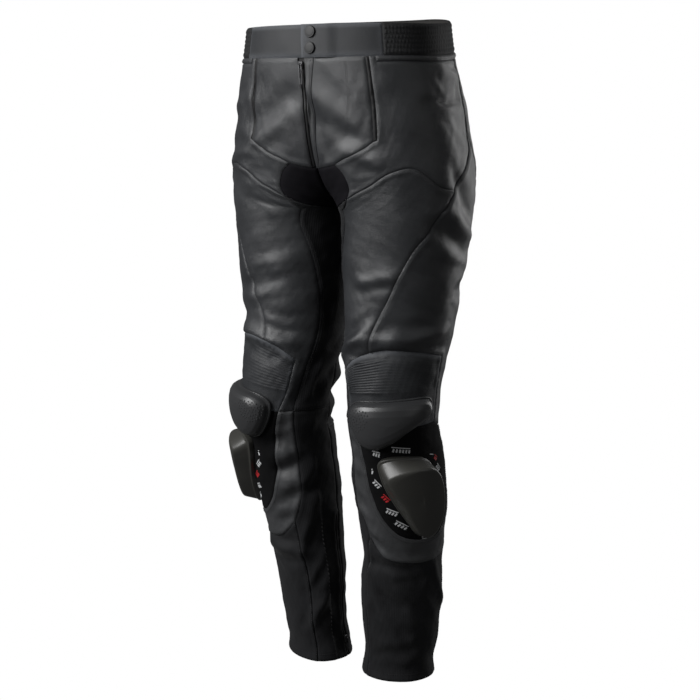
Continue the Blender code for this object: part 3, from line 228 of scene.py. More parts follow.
# Each panel is the loop of its seams; a minus sign runs a seam backwards, a plus sign one turn further round
PANELS = [
    Panel("front_yoke", "leather", "waist_yoke pocket_inner yoke_bottom yoke_gusset -fly_edge"),
    Panel("pocket_welt", "trim", "waist_welt pocket_outer -pocket_end -pocket_inner"),
    Panel("hip", "leather", "waist_hip strip_end strip_hip hip_back hip_side -arch -gusset_side"
          " -yoke_bottom pocket_end -pocket_outer"),
    Panel("seat", "leather", "strip_seat seat_centre -seat_end -seat_bottom -seat_side -hip_back"),
    Panel("gusset", "stretch", "gusset_centre gusset_bottom -gusset_side yoke_gusset -fly_end"),
    Panel("thigh_front", "leather", "arch side -accordion_top_inner -accordion_inner shin_top_inner"
          " -medial"),
    Panel("thigh_outer", "leather", "-hip_side seat_side back_side -knee_side_top -knee_side"
          " -shin_top_outer -loop_outer_top -accordion_outer -accordion_top_outer -side"),
    Panel("thigh_back", "leather", "seat_bottom back_inner -knee_top -back_side"),
    Panel("thigh_inner", "stretch", "-back_inner seat_end +gusset_bottom +medial -inner_bottom"
          " -knee_inner"),
    Panel("knee_back", "stretch", "knee_side_top knee_top knee_inner knee_inner_low knee_bottom"
          " -shin_back_upper knee_side"),
    Panel("slider_panel", "loop", "-accordion_bottom loop_outer_top loop_bottom"),
    Panel("shin_surround", "leather", "shin_top_outer shin_back_upper shin_back shin_bottom shin_inner"
          " -shin_top_inner -loop_bottom"),
    Panel("calf_front", "stretch", "-shin_bottom calf_front_outer -hem_front -calf_front_inner"),
    Panel("calf_back", "stretch", "-shin_back -knee_bottom calf_inner_top zip_back -hem_back"
          " -calf_front_outer"),
    Panel("calf_inner", "stretch", "zip_top zip_front hem_inner +-calf_front_inner +shin_inner"
          " -inner_bottom knee_inner_low calf_inner_top"),
    Panel("calf_zip", "trim", "zip_top zip_front -zip_hem -zip_back"),
]

# A crease is a finer trough or ridge, held as a fold is, which bows sideways by its bend, its last value
CREASES = {
    "left": [
        (-0.93, 905, -0.8, 880, 1.6, 6, 4), (-0.96, 975, -0.84, 950, 1.2, 7, 3),
        (-0.88, 893, -0.76, 879, -1.4, 6, 3), (-0.72, 862, -0.6, 838, 1.8, 6, 2),
        (-0.58, 900, -0.5, 860, 1, 9, 6), (-0.2, 905, 0, 897, 1.4, 7, 4),
        (-0.17, 924.5, 0.01, 922.5, 2.6, 3, 1), (-0.95, 945, -0.76, 886, -2.2, 8, 4),
        (-0.9, 935, -0.72, 892, 1.8, 6, 3), (-0.14, 955, 0.02, 945, 1.4, 6, 3),
        (0, 975, 0.12, 968, 1.2, 5, 2), (-0.02, 790, 0.1, 744, 2.2, 6, 4), (-0.14, 752, 0.04, 714, 2, 6, 4),
        (-0.2, 722, 0.02, 690, -2, 7, 5), (-0.08, 690, 0.1, 672, 1.4, 7, 4),
        (-0.6, 664, -0.45, 672, 1.6, 9, 0), (-0.63, 648, -0.48, 657, -1.6, 9, 0),
        (-0.78, 602, -0.58, 624, -1.3, 7, 4), (-0.86, 568, -0.62, 610, 2, 6, 6),
        (-0.88, 552, -0.66, 586, -1.8, 5, 6), (-0.8, 550, -0.48, 566, 2.4, 4, 6),
        (-0.42, 604, -0.2, 598, 1.6, 7, 3), (-0.88, 420, -0.8, 412, 2.4, 6.3, 2),
        (-0.88, 380, -0.77, 370, -2.4, 7.5, 2), (-0.87, 330, -0.75, 305, 3.1, 7.5, 3),
        (-0.8, 280, -0.66, 262, -2.7, 7.5, 3), (-0.5, 240, -0.24, 238, 1.4, 6, 3),
        (-0.66, 205, -0.46, 196, -2, 7, 3), (-0.42, 190, -0.28, 196, 2, 8, 4),
        (-0.72, 150, -0.64, 112, 2.2, 8, 4), (-0.52, 106, -0.38, 90, 2.2, 8, 4),
        (-0.4, 150, -0.24, 120, 1.8, 10, 6), (-0.7, 78, -0.56, 72, -1.6, 7, 3),
        (-0.52, 40, -0.34, 46, -1.6, 6, 3), (-0.86, 300, -0.76, 262, 3, 9, 4),
        (-0.8, 262, -0.62, 240, 2.8, 8, 3), (-0.74, 180, -0.52, 110, 3.2, 12, 6),
        (-0.56, 200, -0.3, 150, -2.8, 11, 6),
    ],
    "right": [
        (-0.86, 915, -0.66, 872, 1.6, 7, 4), (-0.72, 930, -0.56, 905, 1.4, 7, 4),
        (-0.56, 948, -0.42, 938, 1.6, 6, 2), (-0.56, 880, -0.36, 862, 1.8, 7, 4),
        (-0.62, 846, -0.42, 822, -1.6, 6, 3), (-0.3, 880, -0.1, 886, 1.6, 8, 4),
        (-0.68, 770, -0.52, 778, 1.4, 7, 3), (-0.62, 676, -0.44, 664, 1.6, 7, 3),
        (-0.56, 632, -0.36, 622, -1.8, 7, 3), (-0.8, 600, -0.6, 604, 2, 7, 4),
        (-0.82, 574, -0.62, 584, 2, 6, 4), (-0.72, 546, -0.5, 556, 2.4, 5, 3),
        (-0.86, 530, -0.72, 545, -1.8, 6, 3), (-0.92, 500, -0.88, 455, 1.8, 5, 2),
        (-0.87, 430, -0.76, 424, 2.4, 6.3, 2), (-0.85, 382, -0.72, 372, -3.4, 10, 3),
        (-0.85, 330, -0.7, 318, -3.4, 10, 3), (-0.78, 270, -0.62, 252, 2.7, 7.5, 2),
        (-0.76, 222, -0.48, 219, 3, 6, 2), (-0.74, 184, -0.46, 186, 2.4, 7, 3),
        (-0.99, 174, -0.88, 148, 2.6, 8, 3), (-0.98, 104, -0.86, 84, 2, 8, 3),
        (-0.76, 100, -0.64, 60, 1.4, 8, 4), (-0.99, 330, -0.92, 306, 2.4, 7, 2),
        (-0.96, 258, -0.84, 200, 2.4, 7, 3), (0.86, 440, 0.98, 404, 2, 8, 3),
        (0.87, 75, 0.98, 45, -1.8, 8, 3), (-0.89, 392, -0.72, 404, 1.8, 7.5, 4),
        (-0.89, 364, -0.68, 342, 2.2, 7.5, 5), (-0.86, 310, -0.65, 280, 2, 8.5, 4),
        (-0.98, 215, -0.74, 130, 3.6, 12, 6), (-0.96, 150, -0.76, 70, -3, 12, 6),
    ],
    "both": [
        (-0.97, 690, -0.9, 660, 1.6, 8, 3), (-0.92, 740, -0.84, 720, 1.4, 7, 3),
        (0.88, 700, 0.98, 680, 1.8, 8, 3), (0.86, 560, 0.98, 545, 2.2, 7, 3),
        (0.3, 930, 0.56, 900, 1.4, 10, 6), (0.6, 880, 0.86, 900, 1.4, 10, 8),
        (0.48, 838, 0.82, 826, -2.2, 8, 5), (0.38, 804, 0.64, 792, 3, 7, 4),
        (0.5, 786, 0.8, 770, -2.6, 9, 5), (0.36, 732, 0.58, 738, -2.4, 8, 4), (0.44, 660, 0.7, 650, 2, 8, 5),
        (0.14, 700, 0.3, 690, 2, 8, 4), (0.1, 600, 0.3, 610, 2.2, 8, 4), (0.38, 552, 0.72, 548, 3, 7, 4),
        (0.16, 530, 0.36, 532, 2.4, 7, 3), (0.4, 492, 0.74, 494, -3.4, 8, 4),
        (0.36, 447, 0.72, 449, -3, 8, 4), (0.14, 470, 0.34, 482, 2.4, 7, 3),
        (0.34, 392, 0.66, 400, 2.2, 8, 4), (0.16, 350, 0.34, 362, 1.6, 8, 3),
        (0.4, 310, 0.72, 290, 2.2, 9, 5), (0.34, 250, 0.66, 262, 2, 9, 5), (0.1, 200, 0.34, 216, 2, 9, 4),
        (0.48, 130, 0.74, 140, 2, 9, 4), (0.14, 60, 0.42, 52, 1.8, 8, 4),
    ],
}
SIDE_RIDGE = 0.30
SIDE_RIDGE_AT = 1.9
SIDE_RIDGE_WIDTH = 0.8
# How far a fold reaches, and how far its ends and a crease's run out, in widths
FOLD_REACH = 4.5
FOLD_END = 1.5
CREASE_END = 2.0
UNEVEN_LONG = 0.0007
UNEVEN_LONG_LENGTH = 0.046
UNEVEN_SHORT = 0.00022
UNEVEN_SHORT_LENGTH = 0.013

# A sewn edge rolls down into its seam, is plump beside it and puckers along it
EDGE_RINGS = (0.0011, 0.0027)
# A ring's point is dropped where another edge is nearer than this share of the ring's inset
RING_CLEAR = 0.62
# Rows of a relief keep this much further in than the last ring
ROW_CLEAR = 0.0008
# How far the lighter tone reaches in from a sewn edge: partly worn leather, partly a painted highlight
WEAR_AND_HIGHLIGHT_WIDTH = 0.004
EDGE_SINK = 0.0011
EDGE_ROLL = 0.0014
PLUMP = 0.0003
PLUMP_AT = 0.0040
PLUMP_WIDTH = 0.0030
PUCKER = 0.00022
PUCKER_LENGTH = 0.0090
PUCKER_WIDTH = 0.0060
PUCKER_FROM = 0.0005

# A felled seam: the seam's allowances lie under one panel, raise it and are stitched down
LAP = 0.0007
LAP_WIDTH = 0.0072
LAP_SLOPE = 0.0016
STITCH_ROWS = (0.0020, 0.0058)
# The felled seams of each panel, with their rows of stitches
FELLED = {
    "thigh_front": {"arch": 2, "accordion_top_inner": 1, "accordion_inner": 1},
    "thigh_inner": {"medial": 2, "seat_end": 1, "inner_bottom": 1},
    "thigh_outer": {"side": 2, "hip_side": 2, "accordion_outer": 1, "accordion_top_outer": 1},
    "hip": {"yoke_bottom": 2, "gusset_side": 1},
    "front_yoke": {"yoke_gusset": 1},
    "seat": {"hip_back": 2, "seat_side": 2, "seat_centre": 1},
    "thigh_back": {"seat_bottom": 2, "back_side": 1, "back_inner": 1, "knee_top": 1},
    "shin_surround": {"loop_bottom": 2, "shin_inner": 1, "shin_bottom": 1, "shin_back": 1},
    "calf_front": {"calf_front_inner": 1, "calf_front_outer": 1},
    "calf_back": {"zip_back": 1, "calf_inner_top": 1},
    "calf_inner": {"zip_front": 1},
    "knee_back": {"knee_bottom": 1, "knee_side": 1},
}
# This seam lies flat, where the others stand up as a lap
FLAT_SEAM = ("side", "right")
HEM_ROW = 0.012
HEM_PANELS = {"calf_front": "hem_front", "calf_back": "hem_back", "calf_inner": "hem_inner"}
FLY_CURVE = [(-0.79, 0.984), (-0.79, 0.935), (-0.81, 0.900), (-0.87, 0.880), (-0.965, 0.870)]

# A strip narrower than this is a tape or a piping, whose cut is all that shows of it
NARROW = 0.020
LEAST_CUT = 0.0102
# The least share of its width and length that a cut piece's area comes to, in its computed size
LEAST_SHARE = 0.32
CUT_STEPS = 60

STITCH_PITCH = 0.0034
STITCH_LENGTH = 0.0026
THREAD = 0.00034
THREAD_SINK = 0.0002
STITCH_FROM = 0.0004
STITCH_OVER = 0.0010
NO_STITCHES = np.zeros((0, 10, 3))

# Knee accordion
ACCORDION_RIBS = 13
ACCORDION_RELIEF = {"left": 0.0015, "right": 0.0008}
ACCORDION_LOW = [(-0.83, 0.492), (-0.60, 0.499), (-0.13, 0.505)]
ACCORDION_HIGH = [(-0.84, 0.524), (-0.72, 0.541), (-0.50, 0.557), (-0.30, 0.553), (-0.12, 0.543)]
ACCORDION_FADE = (-0.66, -0.42)
ACCORDION_FAINTEST = 0.12
STEPS_PER_RIB = 6
RIB_COLUMN = 0.0045

# Waist elastics
ELASTIC_RIBS = 6
ELASTIC_RELIEF = 0.0008
ELASTIC_FROM = -0.54
ELASTIC_TO = 0.35
ELASTIC_THICKNESS = 0.0024
ELASTIC_MARGIN = 0.0030
GATHER = 0.0003
GATHER_LENGTH = 0.0062

# Waistband front and press studs
BAND_THICKNESS = 0.0022
OVERLAP_END = -1.012
UNDERLAP_END = -0.925
BANDS = {"waistband_front_left": (OVERLAP_END, ELASTIC_FROM),
         "waistband_front_right": (-2 - ELASTIC_FROM, UNDERLAP_END),
         "waistband_back": (ELASTIC_TO, 2 - ELASTIC_TO)}
BAND_ROW = 0.0022
OVERLAP_RAMP = (-0.90, -0.83)
OVERLAP_LIFT = 0.0030
STUD_TURN = -0.978
STUD_LEVELS = {"upper": 1.0222, "lower": 0.9998}
STUD_RADIUS = 0.0086
STUD_LIFT = 0.0004
STUD_SIDES = 40
# Its rings from the foot to the crown: a share of its radius, and a height
STUD_PROFILE = [(0.96, -0.0006), (1.0, 0.0002), (1.0, 0.0011), (0.985, 0.0016), (0.95, 0.0020),
                (0.89, 0.0022), (0.84, 0.0021), (0.79, 0.0021), (0.72, 0.0023), (0.50, 0.0024),
                (0.08, 0.0025)]

# Strips and zips
FLY_SLIT = -1.004
FLY_EDGE = -0.97
FLY_ROW_APART = 0.0025
STRIP_START = -0.60
FLY_BOTTOM = 0.867
GUARD_RELIEF = 0.0010
STRIP_RELIEF = 0.0012
STRIP_RIPPLE = 0.0004
STRIP_RIPPLE_LENGTH = 0.0085
GATHERED_FROM = -0.55
GATHERED_TO = 0.34
GATHERED_FADE = 0.08
FLY_SUNK = 0.0020
TOOTH_PITCH = 0.0021
TOOTH_SIZE = (0.0021, 0.0011, 0.0010)
# How far a tooth sits to its own side of the zip, as a share of its width
TOOTH_ASIDE = 0.28
FLY_TEETH = (-1.0165, 0.869, 0.973)
FLY_TEETH_LIFT = -0.0006
CALF_TEETH = (0.835, 0.044, 0.257)
CALF_TEETH_LIFT = 0.0001

# Knee parts
CUP_OUTLINE = [(-0.775, 0.476), (-0.69, 0.487), (-0.55, 0.490), (-0.40, 0.493), (-0.25, 0.494),
               (-0.20, 0.486), (-0.215, 0.470), (-0.38, 0.444), (-0.50, 0.425), (-0.61, 0.414),
               (-0.70, 0.419), (-0.765, 0.440), (-0.79, 0.460)]
CUP_CROWN = (-0.50, 0.457)
SLIDER_OUTLINE = [(-0.600, 0.394), (-0.52, 0.403), (-0.40, 0.404), (-0.30, 0.400), (-0.25, 0.382),
                  (-0.235, 0.345), (-0.25, 0.308), (-0.29, 0.282), (-0.345, 0.271), (-0.405, 0.277),
                  (-0.455, 0.296), (-0.515, 0.322), (-0.570, 0.350), (-0.600, 0.374)]
SLIDER_CROWN = (-0.37, 0.345)
PART_LIFT = 0.0012
# How far the hard parts sit from those places: the wearer's right knee is set a little further round
Shift = namedtuple("Shift", "turn level")
CUP_SHIFT = {"left": Shift(0.0, 0.0), "right": Shift(0.06, -0.012)}
SLIDER_SHIFT = {"left": Shift(0.0, 0.0), "right": Shift(0.095, -0.004)}
Ring = namedtuple("Ring", "share height")
CUP_RINGS = [Ring(0.0, 0.0036), Ring(0.015, 0.0048), Ring(0.045, 0.0048), Ring(0.058, 0.0040),
             Ring(0.075, 0.0060), Ring(0.115, 0.0118), Ring(0.20, 0.0166), Ring(0.35, 0.0196),
             Ring(0.60, 0.0215), Ring(1.0, 0.0225)]
SLIDER_RINGS = [Ring(0.0, 0.0060), Ring(0.012, 0.0070), Ring(0.030, 0.0072), Ring(0.042, 0.0090),
                Ring(0.150, 0.0284), Ring(0.175, 0.0297), Ring(0.205, 0.0303), Ring(1.0, 0.0313)]
RINGS = 44
RING_SPACING = 0.0026
RING_CROWDING = 1.6
FOOT_SINK = 0.0004
# Small raised pips on the upper medial part of the cup
PIP_PATCH = [(-0.755, 0.464), (-0.735, 0.473), (-0.610, 0.476), (-0.600, 0.462), (-0.650, 0.446),
             (-0.730, 0.449)]
PIP_SPACING = 0.0042
PIP_RADIUS = 0.0013
PIP_HEIGHT = 0.0007
PIP_SIDES = 8

# The slider's medial bevel is broad and its other sides are steep
FACET_LEAST = 0.95
FACET_MORE = 1.65
FACET_HEADING = 183
FACET_SPREAD = 1.15

Cluster = namedtuple("Cluster", "turn level run slope dashes colour")
# Generic print on the pile beside the knee slider: each cluster is a thin rule over a row of slanted dashes
CLUSTERS = [
    Cluster(-0.612, 0.4050, 0.013, -0.15, 3, "white"),
    Cluster(-0.442, 0.4125, 0.029, -0.10, 6, "white"),
    Cluster(-0.668, 0.3735, 0.002, 0.00, 1, "white"),
    Cluster(-0.645, 0.3535, 0.015, -0.90, 3, "white"),
    Cluster(-0.588, 0.3310, 0.014, -0.90, 3, "red"),
    Cluster(-0.550, 0.3080, 0.019, -0.35, 4, "white"),
    Cluster(-0.494, 0.2860, 0.021, -0.60, 4, "white"),
    Cluster(-0.300, 0.2650, 0.021, 0.03, 0, "white"),
    Cluster(-0.300, 0.2615, 0.019, 0.03, 0, "white"),
    Cluster(-0.212, 0.4010, 0.009, -0.25, 0, "white"),
    Cluster(-0.180, 0.3925, 0.008, -0.90, 2, "red"),
    Cluster(-0.172, 0.3760, 0.012, -1.40, 3, "white"),
    Cluster(-0.150, 0.3180, 0.012, 5.00, 3, "white"),
]
RULE_WIDTH = 0.0014
RULE_ABOVE = 0.0050
DASH_LENGTH = 0.0056
DASH_WIDTH = 0.0025
DASH_SLANT = 70
MARK_HEIGHT = 0.00045
MARK_ENDS = 6

# Camera: where the photograph was taken from, and what it looks at
CAMERA_AT = (1.089, -1.677, 0.93 - ORIGIN_LEVEL)
CAMERA_TO = (0.0, 0.0, 0.535 - ORIGIN_LEVEL)
CAMERA_LENS = 66.3
CAMERA_SENSOR = 36.0
PHOTO_SIZE = 700
PRINCIPAL_X = 348
PRINCIPAL_Y = 352

# Light and room
KEY_POWER = 100.0
RIM_POWER = 17.0
FILL_POWER = 5.0
WORLD_STRENGTH = 0.09
FLOOR = -1.0115
FLOOR_RADIUS = 3.2
FLOOR_SIDES = 72
COVE = 1.6
COVE_STEPS = 12
WALL = 4.5
LIT_MIDDLE = (0.0, 0.0, -0.475)


def smooth(share):
    share = np.clip(share, 0.0, 1.0)
    return share * share * (3.0 - 2.0 * share)


def sections_at(level):
    """The ring sizes at each level: a smooth curve through the rows of the table."""
    table = np.array(SECTIONS)
    levels = table[:, 0] / 1000
    rows = np.hstack([table[:, 1:6] / 1000, table[:, 6:]])
    climb = np.diff(rows, axis=0) / np.diff(levels)[:, None]
    slope = np.zeros_like(rows)
    slope[1:-1] = np.where(climb[1:] * climb[:-1] > 0, (climb[1:] + climb[:-1]) / 2, 0.0)
    slope[0] = climb[0]
    slope[-1] = climb[-1]
    level = np.clip(level, levels[0], levels[-1])
    row = np.clip(np.searchsorted(levels, level, side="right") - 1, 0, len(levels) - 2)
    height = levels[row + 1] - levels[row]
    t = ((level - levels[row]) / height)[..., None]
    height = height[..., None]
    ends = rows[row] * (2 * t**3 - 3 * t**2 + 1) + rows[row + 1] * (3 * t**2 - 2 * t**3)
    bends = slope[row] * (t**3 - 2 * t**2 + t) + slope[row + 1] * (t**3 - t**2)
    return ends + bends * height


def height_of(turn, level):
    """Height above the hem: rows of cloth dip to the rise in front and behind, and climb at the back."""
    above = np.maximum(level - CROTCH, 0.0)
    arc = RISE_RADIUS * math.pi / 2
    bend = np.minimum(above, arc)
    dip = bend - RISE_RADIUS * (1 - np.cos(bend / RISE_RADIUS))
    fade = 1 - smooth((above - arc) / (RISE_FADE - arc))
    near_centre = smooth((np.abs(turn) - RISE_START) / (1 - RISE_START))
    lift = BACK_LIFT * smooth((turn + 0.2) / 0.9) * smooth((level - LIFT_FROM) / (BAND_BOTTOM - LIFT_FROM))
    return level - dip * fade * near_centre + lift


def half_surface(turn, level):
    """The left half's unfolded cloth: a squared ellipse at each height, cut off at the centre plane."""
    height = height_of(turn, level)
    inner, outer, middle, front, back, twist, square = np.moveaxis(sections_at(height), -1, 0)
    centre = (inner + outer) / 2
    reach = (outer - inner) / 2
    cut = np.clip(centre / reach, 0.0, 1.0)
    last_angle = np.where(inner >= 0, np.pi, np.pi - np.arccos(cut ** (square / 2)))
    angle = turn * last_angle
    cosine = np.cos(angle)
    sine = np.sin(angle)
    x = reach * np.sign(cosine) * np.abs(cosine) ** (2 / square)
    y = np.where(sine < 0, front, back) * np.sign(sine) * np.abs(sine) ** (2 / square)
    twist = np.radians(twist)
    return np.stack([
        centre + x * np.cos(twist) - y * np.sin(twist),
        middle + x * np.sin(twist) + y * np.cos(twist),
        height - ORIGIN_LEVEL,
    ], axis=-1)


def waves(places, length, seed):
    """Gentle uneven waves over a place in space, between about -1 and 1, of about the given length."""
    random = np.random.default_rng(seed)
    total = np.zeros(len(places))
    for _ in range(WAVE_COUNT):
        direction = random.normal(size=3)
        direction /= np.linalg.norm(direction)
        span = length * random.uniform(0.7, 1.6)
        total += np.sin(places @ direction * (2 * math.pi / span) + random.uniform(0, 2 * math.pi))
    return total / 3.0


def in_metres(table):
    """The rows of a table of folds or creases, each with its side."""
    rows = []
    for side, folds in table.items():
        for turn_a, level_a, turn_b, level_b, *sizes in folds:
            sizes = [size / 1000 for size in sizes]
            rows.append(Fold(side, turn_a, level_a / 1000, turn_b, level_b / 1000, *sizes))
    return rows


ALL_FOLDS = in_metres(FOLDS) + in_metres(CREASES)


def fold_depth(turn, level, left):
    """How far the folds and creases sink the cloth at each place. left says which are on the left half."""
    shape = turn.shape
    turn = turn.ravel()
    level = level.ravel()
    left = np.broadcast_to(left, shape).ravel()
    across = turn * PER_TURN
    sunk = np.zeros(len(turn))
    for fold in ALL_FOLDS:
        reach = FOLD_REACH * fold.width + abs(fold.bend or 0.0)
        ends = sorted((fold.turn_a * PER_TURN, fold.turn_b * PER_TURN))
        heights = sorted((fold.level_a, fold.level_b))
        near = np.flatnonzero((across > ends[0] - reach) & (across < ends[1] + reach)
                              & (level > heights[0] - reach) & (level < heights[1] + reach))
        if not len(near):
            continue
        worn = {"both": 1.0, "left": left[near], "right": 1.0 - left[near]}[fold.side]
        run = np.array([(fold.turn_b - fold.turn_a) * PER_TURN, fold.level_b - fold.level_a])
        length = np.hypot(*run)
        along_x = across[near] - fold.turn_a * PER_TURN
        along_y = level[near] - fold.level_a
        along = (along_x * run[0] + along_y * run[1]) / length
        away = (along_x * run[1] - along_y * run[0]) / length
        past = np.maximum(np.maximum(-along, along - length), 0.0)
        if fold.bend is None:
            trough = np.exp(-((away / fold.width) ** 2) - (past / (FOLD_END * fold.width)) ** 2)
        else:
            share = np.clip(along / length, 0.0, 1.0)
            swell = np.sin(math.pi * share)
            beside = (away - 4 * fold.bend * share * (1 - share)) / (fold.width * (0.7 + 0.6 * swell))
            ridges = np.exp(-((np.abs(beside) - SIDE_RIDGE_AT) / SIDE_RIDGE_WIDTH) ** 2)
            trough = np.exp(-beside**2) - SIDE_RIDGE * ridges
            trough = trough * np.exp(-((past / (CREASE_END * fold.width)) ** 2)) * (0.25 + 0.75 * swell)
        sunk[near] += worn * fold.depth * trough
    round_leg = PER_TURN / math.pi
    spot = np.stack([round_leg * np.cos(np.pi * turn), round_leg * np.sin(np.pi * turn), level], axis=-1)
    long = np.where(left > 0.5, waves(spot, UNEVEN_LONG_LENGTH, 11), waves(spot, UNEVEN_LONG_LENGTH, 12))
    free = smooth((1 - np.abs(turn)) / 0.06) + smooth((CROTCH - level) / 0.03)
    uneven = UNEVEN_LONG * long * np.clip(free, 0, 1) + UNEVEN_SHORT * waves(spot, UNEVEN_SHORT_LENGTH, 13)
    return (sunk + uneven * smooth((STRIP_LEVEL - level) / 0.03)).reshape(shape)


def home(turn, level, across):
    """The place on a half that a turn past its edge means, and whether it lies on the other half."""
    if across:
        other = np.abs(turn) > 1
        return np.where(turn > 1, 2 - turn, np.where(turn < -1, -2 - turn, turn)), other
    turn = np.where(turn > 1, turn - 2, np.where(turn < -1, turn + 2, turn))
    return turn, np.zeros(turn.shape, bool)


def unfolded(turn, level, across):
    place, other = home(turn, level, across)
    point = half_surface(place, level)
    point[..., 0] *= np.where(other, -1.0, 1.0)
    return point


def slopes(shape, turn, level, across):
    """The cloth's unit normal and its two directions, from points a small step away."""
    centre = turn
    if not across:
        edge = 1 - STEP
        centre = np.where(level > CROTCH - STEP, np.clip(home(turn, level, False)[0], -edge, edge), turn)
    along = (shape(centre + STEP, level) - shape(centre - STEP, level)) / (2 * STEP)
    up = (shape(centre, level + STEP) - shape(centre, level - STEP)) / (2 * STEP)
    normal = np.cross(along, up)
    return normal / np.linalg.norm(normal, axis=-1, keepdims=True), along, up


def cloth_point(turn, level, side, across):
    """The folded cloth's outer face."""
    normal = slopes(lambda t, v: unfolded(t, v, across), turn, level, across)[0]
    place, other = home(turn, level, across)
    left = np.where(other, 0.0, 1.0) if side == "left" else np.where(other, 1.0, 0.0)
    return unfolded(turn, level, across) - normal * fold_depth(place, level, left)[..., None]


def cloth(places, side, across=False):
    """Points, normals and directions of the folded cloth at the places."""
    turn, level = np.asarray(places, float).T
    point = cloth_point(turn, level, side, across)
    normal, along, up = slopes(lambda t, v: cloth_point(t, v, side, across), turn, level, across)
    if not across:
        centre = (np.abs(turn) > 1 - STEP) & (np.abs(turn) < 1 + STEP) & (level > CROTCH - STEP)
        normal[centre, 0] = np.minimum(normal[centre, 0], 0.0)
        normal /= np.linalg.norm(normal, axis=-1, keepdims=True)
    return point, normal, along, up


def curve_through(places, spacing, closed=False):
    """A smooth curve through the places, with even steps of about the spacing, ends kept."""
    places = np.array(places, float)
    scale = np.array([PER_TURN, 1.0])
    points = places * scale
    if closed:
        padded = np.vstack([points[-1:], points, points[:2]])
    else:
        padded = np.vstack([2 * points[0] - points[1], points, 2 * points[-1] - points[-2]])
    fine = []
    for a, b, c, d in zip(padded, padded[1:], padded[2:], padded[3:]):
        for t in np.linspace(0, 1, CURVE_STEPS, endpoint=False):
            fine.append(0.5 * (2 * b + (c - a) * t + (2 * a - 5 * b + 4 * c - d) * t**2
                               + (3 * b - a - 3 * c + d) * t**3))
    fine.append(points[0] if closed else points[-1])
    fine = np.array(fine)
    run = np.concatenate([[0.0], np.cumsum(np.linalg.norm(np.diff(fine, axis=0), axis=1))])
    count = max(1, round(run[-1] / spacing))
    even = np.linspace(0, run[-1], count + 1)
    line = np.stack([np.interp(even, run, fine[:, k]) for k in range(2)], axis=-1)
    line[0] = fine[0]
    line[-1] = fine[-1]
    return line / scale


def places_of(turns, levels):
    """Places from turns and levels, where one of them may be a single number."""
    return np.stack(np.broadcast_arrays(turns, levels), axis=-1)


def seam_points(word, spacing=SEAM_SPACING):
    """The seam that a word names, run backwards after a minus sign and one turn further on after a plus."""
    line = curve_through(SEAMS[word.lstrip("+-")], spacing)
    if "-" in word[:2]:
        line = line[::-1]
    return line + (2.0, 0.0) if word.startswith("+") and line[:, 0].max() < 0 else line


def loop_of(words):
    """The closed loop of these seams, counter-clockwise, each seam turned to follow the one before it."""
    lines = [seam_points(word) for word in words.split()]
    if min(np.linalg.norm(lines[0][-1] - lines[1][k]) for k in (0, -1)) > 1e-6:
        lines[0] = lines[0][::-1]
    loop = [lines[0]]
    for line in lines[1:]:
        follows = np.linalg.norm(line[0] - loop[-1][-1]) < 1e-6
        loop.append(line if follows else line[::-1])
    return counter_clockwise(np.vstack([line[:-1] for line in loop]))


def counter_clockwise(loop):
    x, y = loop.T
    return loop if np.sum(x * np.roll(y, -1) - np.roll(x, -1) * y) > 0 else loop[::-1]


def moved_on_cloth(places, steps, side, across=False):
    """The places moved by steps in space, as measured along the cloth."""
    _, _, along, up = cloth(places, side, across)
    directions = np.stack([along, up], axis=-1)
    square = np.einsum("nki,nkj->nij", directions, directions)
    pull = np.einsum("nki,nk->ni", directions, steps)
    return places + np.linalg.solve(square, pull[..., None])[..., 0]


def drawn_in(loop, side, across, inset):
    """The loop moved in by the inset, as measured on the cloth."""
    point, normal, along, up = cloth(loop, side, across)
    ahead = np.roll(point, -1, axis=0) - point
    ahead /= np.linalg.norm(ahead, axis=1, keepdims=True)
    inward_ahead = np.cross(normal, ahead)
    inward_behind = np.cross(normal, np.roll(ahead, 1, axis=0))
    both = inward_ahead + inward_behind
    size = np.maximum(1 + np.sum(inward_ahead * inward_behind, axis=1), 0.35)
    return moved_on_cloth(loop, inset * both / size[:, None], side, across)


def flat(places):
    return np.asarray(places) * (PER_TURN, 1.0)


def nearest(points, line, closed):
    """How far each flat point is from a flat line, and how far along the line its nearest place is."""
    start = line if closed else line[:-1]
    end = np.roll(line, -1, axis=0) if closed else line[1:]
    run = end - start
    size = np.linalg.norm(run, axis=1)
    before = np.concatenate([[0.0], np.cumsum(size)[:-1]])
    distance = np.empty(len(points))
    position = np.empty(len(points))
    for first in range(0, len(points), LINE_BLOCK):
        part = points[first:first + LINE_BLOCK]
        offset = part[:, None, :] - start[None]
        share = np.clip(np.sum(offset * run, axis=-1) / np.maximum(size**2, 1e-14), 0, 1)
        apart = np.linalg.norm(offset - share[..., None] * run, axis=-1)
        best = apart.argmin(axis=1)
        rows = np.arange(len(part))
        distance[first:first + LINE_BLOCK] = apart[rows, best]
        position[first:first + LINE_BLOCK] = before[best] + share[rows, best] * size[best]
    return distance, position


def inside(points, loop):
    """Which flat points lie inside the flat loop."""
    start = loop
    end = np.roll(loop, -1, axis=0)
    run = end - start
    rise = np.where(np.abs(run[:, 1]) > 1e-12, run[:, 1], 1e-12)
    within = np.empty(len(points), bool)
    for first in range(0, len(points), LINE_BLOCK):
        x, y = points[first:first + LINE_BLOCK, 0, None], points[first:first + LINE_BLOCK, 1, None]
        crosses = (start[:, 1] > y) != (end[:, 1] > y)
        left_of = x < start[:, 0] + (y - start[:, 1]) * run[:, 0] / rise
        within[first:first + LINE_BLOCK] = np.sum(crosses & left_of, axis=1) % 2 == 1
    return within


